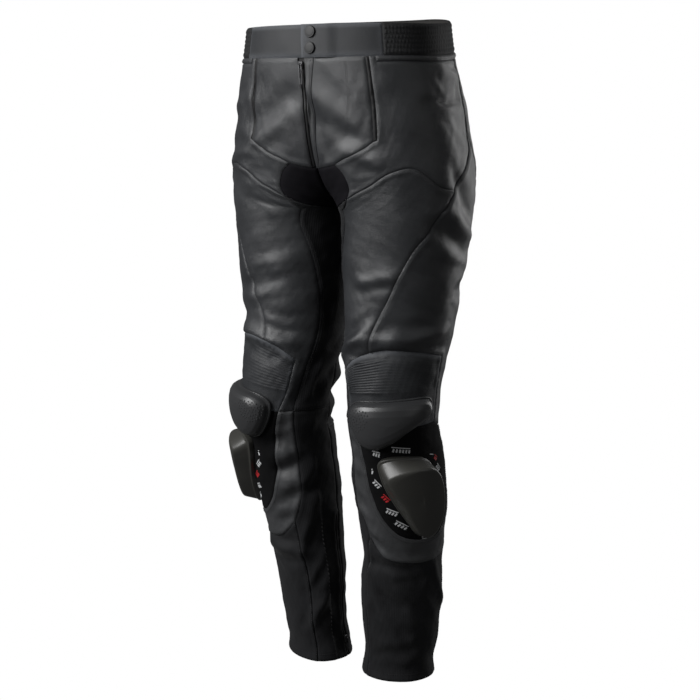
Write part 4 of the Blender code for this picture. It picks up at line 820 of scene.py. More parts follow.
def grid_inside(loop, spacing, margin):
    """A staggered grid of places inside a loop and clear of its edge."""
    edge = flat(loop)
    low = edge.min(axis=0)
    high = edge.max(axis=0)
    row_step = spacing * math.sqrt(3) / 2
    rows = np.arange(int(low[1] / row_step), int(high[1] / row_step) + 2)
    columns = np.arange(int(low[0] / spacing) - 2, int(high[0] / spacing) + 2)
    across, up = np.meshgrid(columns, rows)
    grid = np.stack([spacing * (across + 0.5 * (up % 2)), row_step * up], axis=-1).reshape(-1, 2)
    grid = grid[inside(grid, edge)]
    return grid[nearest(grid, edge, True)[0] > margin] / (PER_TURN, 1.0)


def triangles(loop, inner):
    """Triangles that fill a loop through the places inside it."""
    points = np.vstack([flat(loop), flat(inner)]) if len(inner) else flat(loop)
    count = len(loop)
    edges = [(k, (k + 1) % count) for k in range(count)]
    made = delaunay_2d_cdt([Vector(p) for p in points], edges, [], 1, 1e-7)
    source = [old[0] for old in made[3]]
    return np.array([[source[k] for k in face] for face in made[2]])


def finish_mesh(name, vertices, faces, finish, values=None, places=None, faces_finish=None):
    """An object from arrays, smooth but for its sharp edges, with the named values of its points."""
    mesh = bpy.data.meshes.new(name)
    mesh.from_pydata(np.asarray(vertices).tolist(), [], [tuple(int(k) for k in face) for face in faces])
    for look in finish:
        mesh.materials.append(MATERIAL[look])
    if faces_finish is not None:
        mesh.polygons.foreach_set("material_index", np.asarray(faces_finish, np.int32))
    for label, numbers in (values or {}).items():
        layer = mesh.attributes.new(label, "FLOAT", "POINT")
        layer.data.foreach_set("value", np.asarray(numbers, np.float32))
    if places is not None:
        corners = np.empty(len(mesh.loops), np.int32)
        mesh.loops.foreach_get("vertex_index", corners)
        layer = mesh.uv_layers.new(name="cloth")
        layer.data.foreach_set("uv", flat(places)[corners].astype(np.float32).ravel())
    mesh.shade_smooth()
    mesh.set_sharp_from_angle(angle=math.radians(SHARP_ANGLE))
    obj = bpy.data.objects.new(name, mesh)
    bpy.context.scene.collection.objects.link(obj)
    return obj


def belongs(obj, slot, *nodes):
    """The object rides on the garment, in place of these solids."""
    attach(obj, "root")
    if nodes:
        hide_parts(*nodes)
    return obj


def to_side(vertices, faces, side):
    """The right half is worked out on the left and mirrored."""
    if side == "right":
        return np.asarray(vertices) * (-1.0, 1.0, 1.0), [face[::-1] for face in faces]
    return vertices, faces


def ring_faces(rings, count, start=0):
    """Quads between one ring of points and the next, all of the same count."""
    faces = []
    for first in range(start, start + (rings - 1) * count, count):
        for k in range(count):
            beside = first + (k + 1) % count
            faces.append((first + k, beside, beside + count, first + k + count))
    return faces


def area_of(points, faces):
    a, b, c = (points[faces[:, k]] for k in range(3))
    return np.linalg.norm(np.cross(b - a, c - a), axis=1).sum() / 2


def cut_size(loop, across):
    """The width, length and area of the flat cut of a panel, measured on the unfolded cloth."""
    inner = grid_inside(loop, 2 * CLOTH_SPACING, CLOTH_SPACING)
    places = np.vstack([loop, inner])
    area = area_of(unfolded(*places.T, across), triangles(loop, inner))
    low = places.min(axis=0)
    high = places.max(axis=0)
    middle = np.median(places, axis=0)
    turns = np.linspace(low[0] + STEP / 100, high[0] - STEP / 100, CUT_STEPS)
    levels = np.linspace(low[1], high[1], CUT_STEPS)
    row = unfolded(turns, np.full(CUT_STEPS, middle[1]), across)
    column = unfolded(np.full(CUT_STEPS, middle[0]), levels, across)
    width, length = (np.linalg.norm(np.diff(line, axis=0), axis=1).sum() for line in (row, column))
    share = area / (width * length)
    fit = math.sqrt(max(share, 1.0) * min(share / LEAST_SHARE, 1.0))
    return (width * fit, length * fit), area


def edge_profile(distance, position):
    """How high a sewn cloth stands near its edge: rolled down into the seam, plump and puckered beside it."""
    height = -EDGE_SINK * np.exp(-((distance / EDGE_ROLL) ** 2))
    height += PLUMP * np.exp(-(((distance - PLUMP_AT) / PLUMP_WIDTH) ** 2))
    wobble = 1.3 * np.sin(position * 71.0) + 0.7 * np.sin(position * 177.0)
    wave = np.sin(2 * math.pi * position / PUCKER_LENGTH + wobble)
    return height + PUCKER * wave * np.exp(-((distance / PUCKER_WIDTH) ** 2)) * (distance > PUCKER_FROM)


def lap_profile(places, lines):
    """The raise of a felled seam along these lines."""
    if not lines:
        return np.zeros(len(places))
    distance = np.min([nearest(flat(places), flat(line), False)[0] for line in lines], axis=0)
    return LAP * (1 - smooth((distance - LAP_WIDTH) / LAP_SLOPE))


Cloth = namedtuple("Cloth", "places point normal")


def fabric(node, loop, side, finish, slot, across=False, thickness=LEATHER, lift=None, relief=None, rows=None,
           laps=(), spacing=CLOTH_SPACING):
    """A panel of cloth as a closed shell on the surface, in place of its solid.

    lift raises it all; relief raises its outer face; rows are places that the relief needs as points.
    """
    edge = drawn_in(loop, side, across, SEAM_GAP / 2)
    border = flat(edge)
    inner = []
    for inset in EDGE_RINGS:
        ring = drawn_in(loop, side, across, inset)
        ring = ring[inside(flat(ring), border)]
        inner.append(ring[nearest(flat(ring), border, True)[0] > RING_CLEAR * inset])
    grid = grid_inside(edge, spacing, EDGE_RINGS[-1] + 0.45 * spacing)
    if rows is not None:
        rows = rows[inside(flat(rows), border)]
        rows = rows[nearest(flat(rows), border, True)[0] > EDGE_RINGS[-1] + ROW_CLEAR]
        grid = grid[nearest_points(grid, rows) > 0.6 * spacing]
        inner.append(rows)
    inner = np.vstack(inner + [grid])
    places = np.vstack([edge, inner])
    distance, position = nearest(flat(places), border, True)
    height = edge_profile(distance, position) + lap_profile(places, laps)
    if lift is not None:
        height = height + lift(places)
    if relief is not None:
        height = height + relief(places) * smooth(distance / EDGE_RINGS[-1])
    point, normal = cloth(places, side, across)[:2]
    outer = point + normal * height[:, None]
    top = triangles(edge, inner)
    count = len(places)
    here = np.arange(len(edge))
    ahead = np.roll(here, -1)
    wall = np.vstack([np.stack([ahead, here, here + count], axis=-1),
                      np.stack([ahead, here + count, ahead + count], axis=-1)])
    faces = np.vstack([top, top[:, ::-1] + count, wall])
    looks = np.repeat([0, 1, 0], [len(top), len(top), len(wall)])
    vertices, faces = to_side(np.vstack([outer, outer - normal * thickness]), faces, side)
    # Closeness to a sewn edge: it makes the band's colour lighter there, partly worn leather and partly a
    # painted highlight, and every leather look rougher
    values = {"edge": np.tile(np.exp(-((distance / WEAR_AND_HIGHLIGHT_WIDTH) ** 2)), 2)}
    obj = finish_mesh(f"cloth_{node}", vertices, faces, (finish, "inside"), values,
                      np.vstack([places, places]), looks)
    belongs(obj, slot, node)
    size, area = cut_size(loop, across)
    if min(size) < NARROW:
        area = area_of(outer, top)
        size = (max(size[0], LEAST_CUT), max(size[1], LEAST_CUT, area / size[0]))
    SHELLS[node] = Cloth(places, outer, normal)


def nearest_points(places, others):
    """How far each place is from the nearest of the others, on the flat."""
    places, others = flat(places), flat(others)
    best = np.full(len(places), 1.0)
    for first in range(0, len(others), POINT_BLOCK):
        block = others[first:first + POINT_BLOCK]
        best = np.minimum(best, np.linalg.norm(places[:, None] - block[None], axis=-1).min(axis=1))
    return best


def at_turns(table, turns):
    """The level of a line, given as places, at each turn."""
    return np.interp(turns, [row[0] for row in table], [row[1] for row in table])


def felled_seams(panel, side):
    """The felled seams of a panel, each a line of places on its loop with its rows of stitches."""
    seams = []
    for word, rows in FELLED.get(panel, {}).items():
        if (word, side) != FLAT_SEAM:
            line = seam_points(word)
            past_inseam = panel == "thigh_inner" and line[:, 0].mean() < 0
            seams.append((line + (2.0, 0.0) if past_inseam else line, rows))
    return seams


def sewn_panels(side):
    for panel in PANELS:
        fabric(f"{panel.name}_{side}", loop_of(panel.seams), side, PANEL_LOOK.get(panel.name, panel.cloth),
               "hook_and_loop" if panel.cloth == "loop" else panel.cloth,
               laps=[line for line, _ in felled_seams(panel.name, side)],
               thickness=STRETCH if panel.cloth == "stretch" else LEATHER,
               spacing=WELT_SPACING if panel.name == "pocket_welt" else CLOTH_SPACING)


def knee_accordion(side):
    loop = loop_of("accordion_top_inner accordion_top_outer accordion_outer accordion_bottom accordion_inner")

    def bounds(turns):
        return at_turns(ACCORDION_LOW, turns) + CUP_SHIFT[side].level, at_turns(ACCORDION_HIGH, turns)

    turns = np.arange(loop[:, 0].min(), loop[:, 0].max(), RIB_COLUMN / PER_TURN)
    low, high = bounds(turns)
    steps = STEPS_PER_RIB * ACCORDION_RIBS
    rows = []
    for row in range(steps + 1):
        share = row / steps
        stagger = (0.5 * RIB_COLUMN / PER_TURN) * (row % 2)
        rows.append(places_of(turns + stagger, low * (1 - share) + high * share))

    def ribs(places):
        turn, level = places.T
        low, high = bounds(turn)
        share = (level - low) / (high - low)
        inner, outer = ACCORDION_FADE
        strength = 1 - (1 - ACCORDION_FAINTEST) * smooth((turn - inner) / (outer - inner))
        wave = np.abs(np.sin(math.pi * share * ACCORDION_RIBS)) ** 0.75
        return ACCORDION_RELIEF[side] * strength * wave * ((share > 0) & (share < 1))

    fabric(f"knee_accordion_{side}", loop, side, "band", "leather", relief=ribs, rows=np.vstack(rows),
           laps=[seam_points("accordion_outer")])


def band_loop(start, end):
    """A stretch of the waistband between two turns."""
    turns = np.linspace(start, end, int((end - start) * PER_TURN / SEAM_SPACING) + 1)
    levels = np.linspace(BAND_BOTTOM, BAND_TOP, 12)[1:-1]
    return np.vstack([places_of(turns, BAND_BOTTOM), places_of(end, levels), places_of(turns[::-1], BAND_TOP),
                      places_of(start, levels[::-1])])


def overlap_lift(places):
    """The left front end rises over the right one."""
    start, stop = OVERLAP_RAMP
    return OVERLAP_LIFT * smooth((stop - places[:, 0]) / (stop - start))


def gathers(places):
    """Rows of elastic between lines of stitching, gathered into small waves."""
    turn, level = places.T
    share = (level - BAND_BOTTOM - ELASTIC_MARGIN) / (BAND_TOP - BAND_BOTTOM - 2 * ELASTIC_MARGIN)
    share = np.clip(share, 0.0, 1.0) * ELASTIC_RIBS
    channel = np.floor(share)
    hump = np.abs(np.sin(math.pi * share)) ** 0.6
    shift = 2.1 * np.sin(channel * 2.3 + 0.7) + 0.9 * np.sin(turn * 47 + channel)
    wave = np.sin(2 * math.pi * turn * PER_TURN / GATHER_LENGTH + shift)
    return ELASTIC_RELIEF * hump + GATHER * wave * hump


def waistband():
    for name, (start, end) in BANDS.items():
        fabric(name, band_loop(start, end), "left", "band", "leather", across=True, thickness=BAND_THICKNESS,
               lift=overlap_lift if name == "waistband_front_left" else None)
    for side in ("left", "right"):
        fabric(f"waist_elastic_{side}", band_loop(ELASTIC_FROM, ELASTIC_TO), side, "elastic", "elastic",
               thickness=ELASTIC_THICKNESS, relief=gathers, spacing=ELASTIC_SPACING)


def connection_zip():
    """The covered zip under the waistband, round the back from hip to hip."""
    turns = np.linspace(STRIP_START, 2 - STRIP_START, int((2 - 2 * STRIP_START) * PER_TURN / SEAM_SPACING))
    loop = np.vstack([places_of(turns, STRIP_LEVEL), places_of(turns[::-1], BAND_BOTTOM)])
    fabric("connection_zip_guard", loop, "left", "leather", "trim", across=True, spacing=GUARD_SPACING,
           lift=strip_lift)


def strip_lift(places):
    """The guard's rolled lower edge ripples where the elastic gathers the cloth above it."""
    turn = 1 - np.abs(1 - places[:, 0])
    gathered = smooth((turn - GATHERED_FROM) / GATHERED_FADE) * smooth((GATHERED_TO - turn) / GATHERED_FADE)
    ripple = np.sin(2 * math.pi * turn * PER_TURN / STRIP_RIPPLE_LENGTH + 1.4 * np.sin(turn * 31))
    return STRIP_RELIEF + STRIP_RIPPLE * gathered * ripple


def fly():
    """The zip's tape and the guard over it, two upright strips."""
    levels = np.linspace(FLY_BOTTOM, BAND_BOTTOM, int((BAND_BOTTOM - FLY_BOTTOM) / SEAM_SPACING) + 1)
    for name, start, end, finish, lift in (("fly_zip", -2 - FLY_EDGE, FLY_SLIT, "trim", -FLY_SUNK),
                                           ("fly_guard", FLY_SLIT, FLY_EDGE, "leather", GUARD_RELIEF)):
        loop = np.vstack([places_of(end, levels), places_of(start, levels[::-1])])
        fabric(name, loop, "left", finish, finish, across=True, spacing=FLY_SPACING,
               lift=lambda places: np.full(len(places), lift))


def moulding(node, outline, crown, rings, shift, side, finish, slot, bevels=False):
    """A moulded part on the cloth: rings of its outline, drawn in towards its crown, climb to the top."""
    loop = counter_clockwise(curve_through(outline, RING_SPACING, closed=True)[:-1] + shift)
    centre = np.array(crown) + shift
    away = flat(loop - centre)
    heading = np.arctan2(away[:, 1], away[:, 0])
    medial = np.maximum(np.cos(heading - math.radians(FACET_HEADING)), 0.0) ** FACET_SPREAD
    wide = FACET_LEAST + FACET_MORE * medial if bevels else np.ones(len(loop))
    shares, climbs = zip(*rings)
    places, heights = [], []
    for share in np.linspace(0, 1, RINGS + 1)[:-1] ** RING_CROWDING:
        places.append(loop * (1 - share) + centre * share)
        heights.append(np.interp(np.minimum(share / wide, 1.0), shares, climbs))
    places = np.vstack(places + [centre[None]])
    point, normal = mean_surface(places, side)
    top = point + normal * (PART_LIFT + np.append(heights, climbs[-1]))[:, None]
    count = len(loop)
    foot = np.r_[0:count, -1]
    vertices = np.vstack([top, point[foot] - normal[foot] * FOOT_SINK])
    here = np.arange(count)
    ahead = np.roll(here, -1)
    faces = []
    for base in range(0, (RINGS - 1) * count, count):
        faces.append(np.stack([here + base, ahead + base, ahead + base + count], axis=-1))
        faces.append(np.stack([here + base, ahead + base + count, here + base + count], axis=-1))
    last = (RINGS - 1) * count
    under = len(top)
    faces.append(np.stack([here + last, ahead + last, np.full(count, under - 1)], axis=-1))
    faces.append(np.stack([ahead, here, here + under], axis=-1))
    faces.append(np.stack([ahead, here + under, ahead + under], axis=-1))
    faces.append(np.stack([ahead + under, here + under, np.full(count, len(vertices) - 1)], axis=-1))
    belongs(finish_mesh(f"moulded_{node}", *to_side(vertices, np.vstack(faces), side), (finish,)), slot, node)
    return Cloth(places, top, normal)


def pips(cup, side):
    """Small round pips, evenly spread over a patch of the knee cup."""
    patch = curve_through(PIP_PATCH, RING_SPACING, closed=True)[:-1] + CUP_SHIFT[side]
    chosen = []
    for index in np.flatnonzero(inside(flat(cup.places), flat(patch))):
        if all(np.linalg.norm(cup.point[index] - cup.point[other]) > PIP_SPACING for other in chosen):
            chosen.append(index)
    vertices, faces = [], []
    for index in chosen:
        out = cup.normal[index]
        across = np.cross(out, (0.0, 0.0, 1.0))
        across /= np.linalg.norm(across)
        up = np.cross(across, out)
        start = len(vertices)
        for radius, height in ((PIP_RADIUS, -PIP_HEIGHT), (0.75 * PIP_RADIUS, 0.7 * PIP_HEIGHT)):
            for angle in np.linspace(0, 2 * math.pi, PIP_SIDES, endpoint=False):
                step = across * math.cos(angle) + up * math.sin(angle)
                vertices.append(cup.point[index] + step * radius + out * height)
        vertices.append(cup.point[index] + out * PIP_HEIGHT)
        high = start + PIP_SIDES
        faces += ring_faces(2, PIP_SIDES, start)
        faces += [(high + k, high + (k + 1) % PIP_SIDES, high + PIP_SIDES) for k in range(PIP_SIDES)]
        faces.append(tuple(range(start, high))[::-1])
    belongs(finish_mesh(f"cup_pips_{side}", *to_side(vertices, faces, side), ("cup",)), "moulded_rubber")


def mean_surface(places, side):
    """The cloth under a hard part with its finer creases left out, so that the part stays smooth."""
    turn, level = places.T
    normal = slopes(lambda t, v: unfolded(t, v, False), turn, level, False)[0]
    return unfolded(turn, level, False), normal


def spindle(start, end, out):
    """The points of each stitch: a thread that dips into the cloth at both ends."""
    run = end - start
    across = np.cross(out, run)
    across /= np.maximum(np.linalg.norm(across, axis=-1, keepdims=True), 1e-9)
    points = [start - out * THREAD_SINK]
    for share in (0.28, 0.72):
        centre = start + run * share + out * THREAD * 0.7
        for angle in math.pi / 4 + math.pi / 2 * np.arange(4):
            points.append(centre + across * THREAD * math.cos(angle) * 1.2 + out * THREAD * math.sin(angle))
    points.append(end - out * THREAD_SINK)
    return np.stack(points, axis=1)


SPINDLE_FACES = [(0, 2, 1), (0, 3, 2), (0, 4, 3), (0, 1, 4), (1, 2, 6), (1, 6, 5), (2, 3, 7), (2, 7, 6),
                 (3, 4, 8), (3, 8, 7), (4, 1, 5), (4, 5, 8), (9, 5, 6), (9, 6, 7), (9, 7, 8), (9, 8, 5)]


def shell_height(shell, places, side, across):
    """How high a shell stands over the cloth at each place, from its nearest points."""
    point, normal = cloth(places, side, across)[:2]
    known = flat(shell.places)
    height = np.empty(len(places))
    for first in range(0, len(places), SHELL_BLOCK):
        part = flat(places[first:first + SHELL_BLOCK])
        apart = np.linalg.norm(part[:, None] - known[None], axis=-1)
        best = np.argpartition(apart, 3, axis=1)[:, :3]
        rows = np.arange(len(part))[:, None]
        weight = 1.0 / np.maximum(apart[rows, best], 1e-5)
        offset = shell.point[best] - point[first:first + SHELL_BLOCK, None]
        rise = np.einsum("nki,ni->nk", offset, normal[first:first + SHELL_BLOCK])
        height[first:first + SHELL_BLOCK] = np.sum(rise * weight, axis=1) / weight.sum(axis=1)
    return height


def row_beside(line, shell, side, offset, across=False):
    """A row of places beside a line, at an offset towards the inside of the panel that the shell covers."""
    point, normal = cloth(line, side, across)[:2]
    ahead = np.gradient(point, axis=0)
    ahead /= np.linalg.norm(ahead, axis=1, keepdims=True)
    over = np.cross(normal, ahead)
    best = None
    for sign in (1.0, -1.0):
        moved = moved_on_cloth(line, sign * offset * over, side, across)
        apart = nearest_points(moved[len(moved) // 4: 3 * len(moved) // 4 + 1], shell.places)
        if best is None or apart.mean() < best[0]:
            best = (apart.mean(), moved)
    return best[1]


def stitch_row(places, shell, side, across=False):
    """Stitches along a row of places on a shell, as points of spindles."""
    steps = np.linalg.norm(np.diff(cloth(places, side, across)[0], axis=0), axis=1)
    total = np.append(0.0, np.cumsum(steps))
    count = int(total[-1] / STITCH_PITCH)
    if count < 1:
        return NO_STITCHES
    starts = np.linspace(0, total[-1], count, endpoint=False) + STITCH_FROM
    ends = starts + STITCH_LENGTH
    first, last = (places_of(*[np.interp(at, total, column) for column in places.T]) for at in (starts, ends))
    keep = (ends < total[-1] + STITCH_OVER) & (nearest_points(first, shell.places) < CLOTH_SPACING)
    if not keep.any():
        return NO_STITCHES
    threads = []
    for at in (first[keep], last[keep]):
        point, normal = cloth(at, side, across)[:2]
        threads.append((point + normal * shell_height(shell, at, side, across)[:, None], normal))
    (start, out), (end, _) = threads
    return spindle(start, end, out)


def stitches(name, rows, side):
    """One object of all these stitches."""
    points = np.vstack(rows)
    faces = (np.array(SPINDLE_FACES)[None] + 10 * np.arange(len(points))[:, None, None]).reshape(-1, 3)
    belongs(finish_mesh(name, *to_side(points.reshape(-1, 3), faces, side), ("thread",)), "leather")


def seam_stitches(side):
    rows = []
    for panel in FELLED:
        shell = SHELLS[f"{panel}_{side}"]
        for line, count in felled_seams(panel, side):
            for offset in STITCH_ROWS[:count]:
                rows.append(stitch_row(row_beside(line, shell, side, offset), shell, side))
    for panel, hem in HEM_PANELS.items():
        rows.append(stitch_row(seam_points(hem) + (0.0, HEM_ROW), SHELLS[f"{panel}_{side}"], side))
    if side == "left":
        shell = SHELLS["front_yoke_left"]
        line = curve_through(FLY_CURVE, SEAM_SPACING)
        rows.append(stitch_row(line, shell, side))
        rows.append(stitch_row(row_beside(line, shell, side, FLY_ROW_APART), shell, side))
    stitches(f"stitching_{side}", rows, side)


def band_stitches():
    rows = []

    def sew(name, turns, levels):
        rows.append(stitch_row(places_of(turns, levels), SHELLS[name], "left", True))

    for name, (start, end) in BANDS.items():
        for level in (BAND_BOTTOM + BAND_ROW, BAND_TOP - BAND_ROW):
            sew(name, np.linspace(start + 0.01, end - 0.01, 80), level)
    sew("waistband_front_left", OVERLAP_END + 0.011, np.linspace(BAND_BOTTOM + 0.002, BAND_TOP - 0.002, 20))
    along_guard = np.linspace(STRIP_START + 0.01, 1.99 - STRIP_START, 240)
    sew("connection_zip_guard", along_guard, STRIP_LEVEL + BAND_ROW)
    for turn in (FLY_SLIT + 0.009, FLY_EDGE - 0.009):
        sew("fly_guard", turn, np.linspace(FLY_BOTTOM + 0.002, BAND_BOTTOM - 0.002, 60))
    stitches("stitching_waist", rows, "left")


def print_strokes():
    """Every stroke of the print as (turn, level, length, width, angle, colour)."""
    strokes = []
    for row in CLUSTERS:
        angle = math.atan(row.slope)
        ahead = np.array([math.cos(angle), math.sin(angle)])
        over = np.array([-ahead[1], ahead[0]])
        rule = over * (RULE_ABOVE if row.dashes else 0.0) / (PER_TURN, 1.0)
        strokes.append((row.turn + rule[0], row.level + rule[1], row.run, RULE_WIDTH, angle, row.colour))
        for k in range(row.dashes):
            along = ahead * row.run * ((k + 0.5) / row.dashes - 0.5) / (PER_TURN, 1.0)
            strokes.append((row.turn + along[0], row.level + along[1], DASH_LENGTH, DASH_WIDTH,
                            angle + math.radians(DASH_SLANT), row.colour))
    return strokes


def print_marks(side):
    """Plain rules and dashes, a little proud of the pile: each a bar of rings of four points."""
    shell = SHELLS[f"slider_panel_{side}"]
    vertices, faces, looks = [], [], []
    for turn, level, length, width, angle, colour in print_strokes():
        heading = np.array([math.cos(angle), math.sin(angle)])
        upright = np.array([-heading[1], heading[0]])
        along = np.linspace(-length / 2, length / 2, MARK_ENDS)[:, None] * heading
        places = np.stack([along + upright * width / 2, along - upright * width / 2], axis=1).reshape(-1, 2)
        places = places / (PER_TURN, 1.0) + (turn, level) + SLIDER_SHIFT[side]
        point, normal = cloth(places, side)[:2]
        top = point + normal * (shell_height(shell, places, side, False) + MARK_HEIGHT)[:, None]
        foot = top - normal * 2.2 * MARK_HEIGHT
        start = len(vertices)
        rings = np.concatenate([top.reshape(-1, 2, 3), foot.reshape(-1, 2, 3)[:, ::-1]], axis=1)
        vertices += list(rings.reshape(-1, 3))
        last = len(vertices) - 4
        sides = [quad[1:] + quad[:1] for quad in ring_faces(MARK_ENDS, 4, start)]
        sides += [(start + 1, start, start + 3, start + 2), (last + 1, last + 2, last + 3, last)]
        faces += sides
        looks += [("white", "red").index(colour)] * len(sides)
    obj = finish_mesh(f"dashes_{side}", *to_side(vertices, faces, side), ("print_white", "print_red"),
                      faces_finish=looks)
    belongs(obj, "hook_and_loop")


def on_cloth(turn, level, lift):
    """A frame on the cloth across the middle: X across, Y up, Z out."""
    point, normal, along, _ = cloth([(turn, level)], "left", True)
    out = Vector(normal[0])
    over = Vector(along[0])
    over = (over - over.dot(out) * out).normalized()
    frame = Matrix((over, out.cross(over), out)).transposed().to_4x4()
    frame.translation = Vector(point[0]) + out * lift
    return frame


BOX_POINTS = np.array([(x, y, z) for x in (-0.5, 0.5) for y in (-0.5, 0.5) for z in (-0.5, 0.5)])
BOX_FACES = [(0, 1, 3, 2), (4, 6, 7, 5), (0, 4, 5, 1), (2, 3, 7, 6), (0, 2, 6, 4), (1, 5, 7, 3)]


def zip_teeth(name, turn, low, high, side, across, sunk):
    """Two rows of small teeth that mesh along a closed zip."""
    count = 2 * int((high - low) / TOOTH_PITCH)
    levels = low + (high - low) * (np.arange(count) + 0.5) / count
    point, normal, along, _ = cloth(places_of(turn, levels), side, across)
    over = along / np.linalg.norm(along, axis=1, keepdims=True)
    offset = TOOTH_SIZE[0] * TOOTH_ASIDE * np.where(np.arange(count) % 2, 1.0, -1.0)
    frames = np.stack([over, np.cross(normal, over), normal], axis=1)
    corners = np.einsum("ij,njk->nik", BOX_POINTS * TOOTH_SIZE, frames)
    vertices = (corners + (point + normal * sunk + over * offset[:, None])[:, None]).reshape(-1, 3)
    faces = [tuple(8 * k + i for i in face) for k in range(count) for face in BOX_FACES]
    belongs(finish_mesh(name, *to_side(vertices, faces, side), ("teeth",)), "zip_metal")


def turned(profile, sides):
    """The points and quads of a profile of (radius, height), turned about Z."""
    vertices = []
    for radius, height in profile:
        for angle in np.linspace(0, 2 * math.pi, sides, endpoint=False):
            vertices.append((radius * math.cos(angle), radius * math.sin(angle), height))
    return vertices, ring_faces(len(profile), sides)


def press_studs():
    vertices, faces = turned([(share * STUD_RADIUS, height) for share, height in STUD_PROFILE], STUD_SIDES)
    faces.append(tuple(range(STUD_SIDES))[::-1])
    faces.append(tuple(range(len(vertices) - STUD_SIDES, len(vertices))))
    for name, level in STUD_LEVELS.items():
        frame = on_cloth(STUD_TURN, level, OVERLAP_LIFT + STUD_LIFT)
        obj = finish_mesh(f"stud_cap_{name}", [tuple(frame @ Vector(v)) for v in vertices], faces, ("stud",))
        belongs(obj, "leather", f"press_stud_{name}")


def node(tree, kind, inputs=None, **settings):
    """A shader node; an input is a value, or a (node, output) to link from."""
    made = tree.nodes.new(f"ShaderNode{kind}")
    for key, value in settings.items():
        setattr(made, key, value)
    for key, value in (inputs or {}).items():
        if isinstance(value, tuple) and hasattr(value[0], "outputs"):
            tree.links.new(value[0].outputs[value[1]], made.inputs[key])
        else:
            made.inputs[key].default_value = value
    return made


def maths(tree, operation, *values, **settings):
    return node(tree, "Math", dict(enumerate(values)), operation=operation, **settings), "Value"


def noise(tree, scale, **inputs):
    space = node(tree, "TexCoord")
    return node(tree, "TexNoise", {"Vector": (space, "Object"), "Scale": scale, **inputs}), "Fac"


def bump(tree, height, strength, distance):
    return node(tree, "Bump", {"Strength": strength, "Distance": distance, "Height": height}), "Normal"


def two_tone(tree, share, colour, dark, light):
    """A mix, by the share, of a darker and a lighter shade of a colour."""
    shades = [(*[gain * part for part in colour], 1.0) for gain in (dark, light)]
    return node(tree, "Mix", {"Factor": share, "A": shades[0], "B": shades[1]}, data_type="RGBA"), "Result"


def look(name, colour, roughness, build=None, **sockets):
    """A Principled material. build adds its textures and returns what to link to the shader."""
    made = bpy.data.materials.new(name)
    made.use_nodes = True
    tree = made.node_tree
    shader = tree.nodes["Principled BSDF"]
    shader.inputs["Base Color"].default_value = (*colour, 1.0)
    shader.inputs["Roughness"].default_value = roughness
    for key, value in sockets.items():
        shader.inputs[key.replace("_", " ")].default_value = value
    for socket, (source, output) in (build(tree, colour) if build else {}).items():
        tree.links.new(source.outputs[output], shader.inputs[socket])
    MATERIAL[name] = made


def leather(grain_depth, rough_low, rough_high, edge_wear_and_highlight=1.0):
    """Grained leather. Its last argument is how much lighter it is along its sewn edges: partly worn leather,
    partly a painted highlight.
    """
    def build(tree, colour):
        broad = noise(tree, 22.0, Detail=3.0)
        space = node(tree, "TexCoord")
        cells = node(tree, "TexVoronoi", {"Vector": (space, "Object"), "Scale": 620.0},
                     feature="DISTANCE_TO_EDGE")
        pebble = maths(tree, "MULTIPLY", (cells, "Distance"), 6.0, use_clamp=True)
        wrinkle = noise(tree, 130.0, Detail=4.0, Roughness=0.6, Distortion=1.2)
        grain = maths(tree, "MULTIPLY_ADD", wrinkle, 2.2, pebble)
        edge = (node(tree, "Attribute", attribute_name="edge"), "Fac")
        spread = node(tree, "MapRange", {"Value": broad, "From Min": 0.3, "From Max": 0.7,
                                         "To Min": rough_low, "To Max": rough_high})
        # Lighter along the sewn edges: partly worn leather, partly a painted highlight
        gain = maths(tree, "MULTIPLY_ADD", edge, edge_wear_and_highlight - 1.0, 1.0)
        tone = two_tone(tree, broad, colour, 0.72, 1.25)
        worn_and_highlit_tone = node(tree, "VectorMath", {0: tone, "Scale": gain}, operation="SCALE")
        return {"Base Color": (worn_and_highlit_tone, "Vector"), "Normal": bump(tree, grain, 0.55, grain_depth),
                "Roughness": maths(tree, "MULTIPLY_ADD", edge, 0.10, (spread, "Result"))}
    return build


def ribbed(ribs_per_metre, depth):
    """Ribbed stretch fabric or elastic."""
    def build(tree, colour):
        places = node(tree, "UVMap", uv_map="cloth")
        parts = node(tree, "SeparateXYZ", {"Vector": (places, "UV")})
        turns = maths(tree, "MULTIPLY", (parts, "X"), ribs_per_metre * 2 * math.pi)
        ribs = maths(tree, "SINE", turns)
        height = maths(tree, "MULTIPLY_ADD", noise(tree, 900.0, Detail=2.0), 0.8, ribs)
        share = node(tree, "MapRange", {"Value": ribs, "From Min": -1.0, "From Max": 1.0})
        return {"Base Color": two_tone(tree, (share, "Result"), colour, 0.80, 1.15),
                "Normal": bump(tree, height, 0.6, depth)}
    return build


def speckled(scale, depth, spread=0.4):
    def build(tree, colour):
        grain = noise(tree, scale, Detail=3.0)
        return {"Base Color": two_tone(tree, grain, colour, 1 - spread, 1 + spread),
                "Normal": bump(tree, grain, 0.5, depth)}
    return build


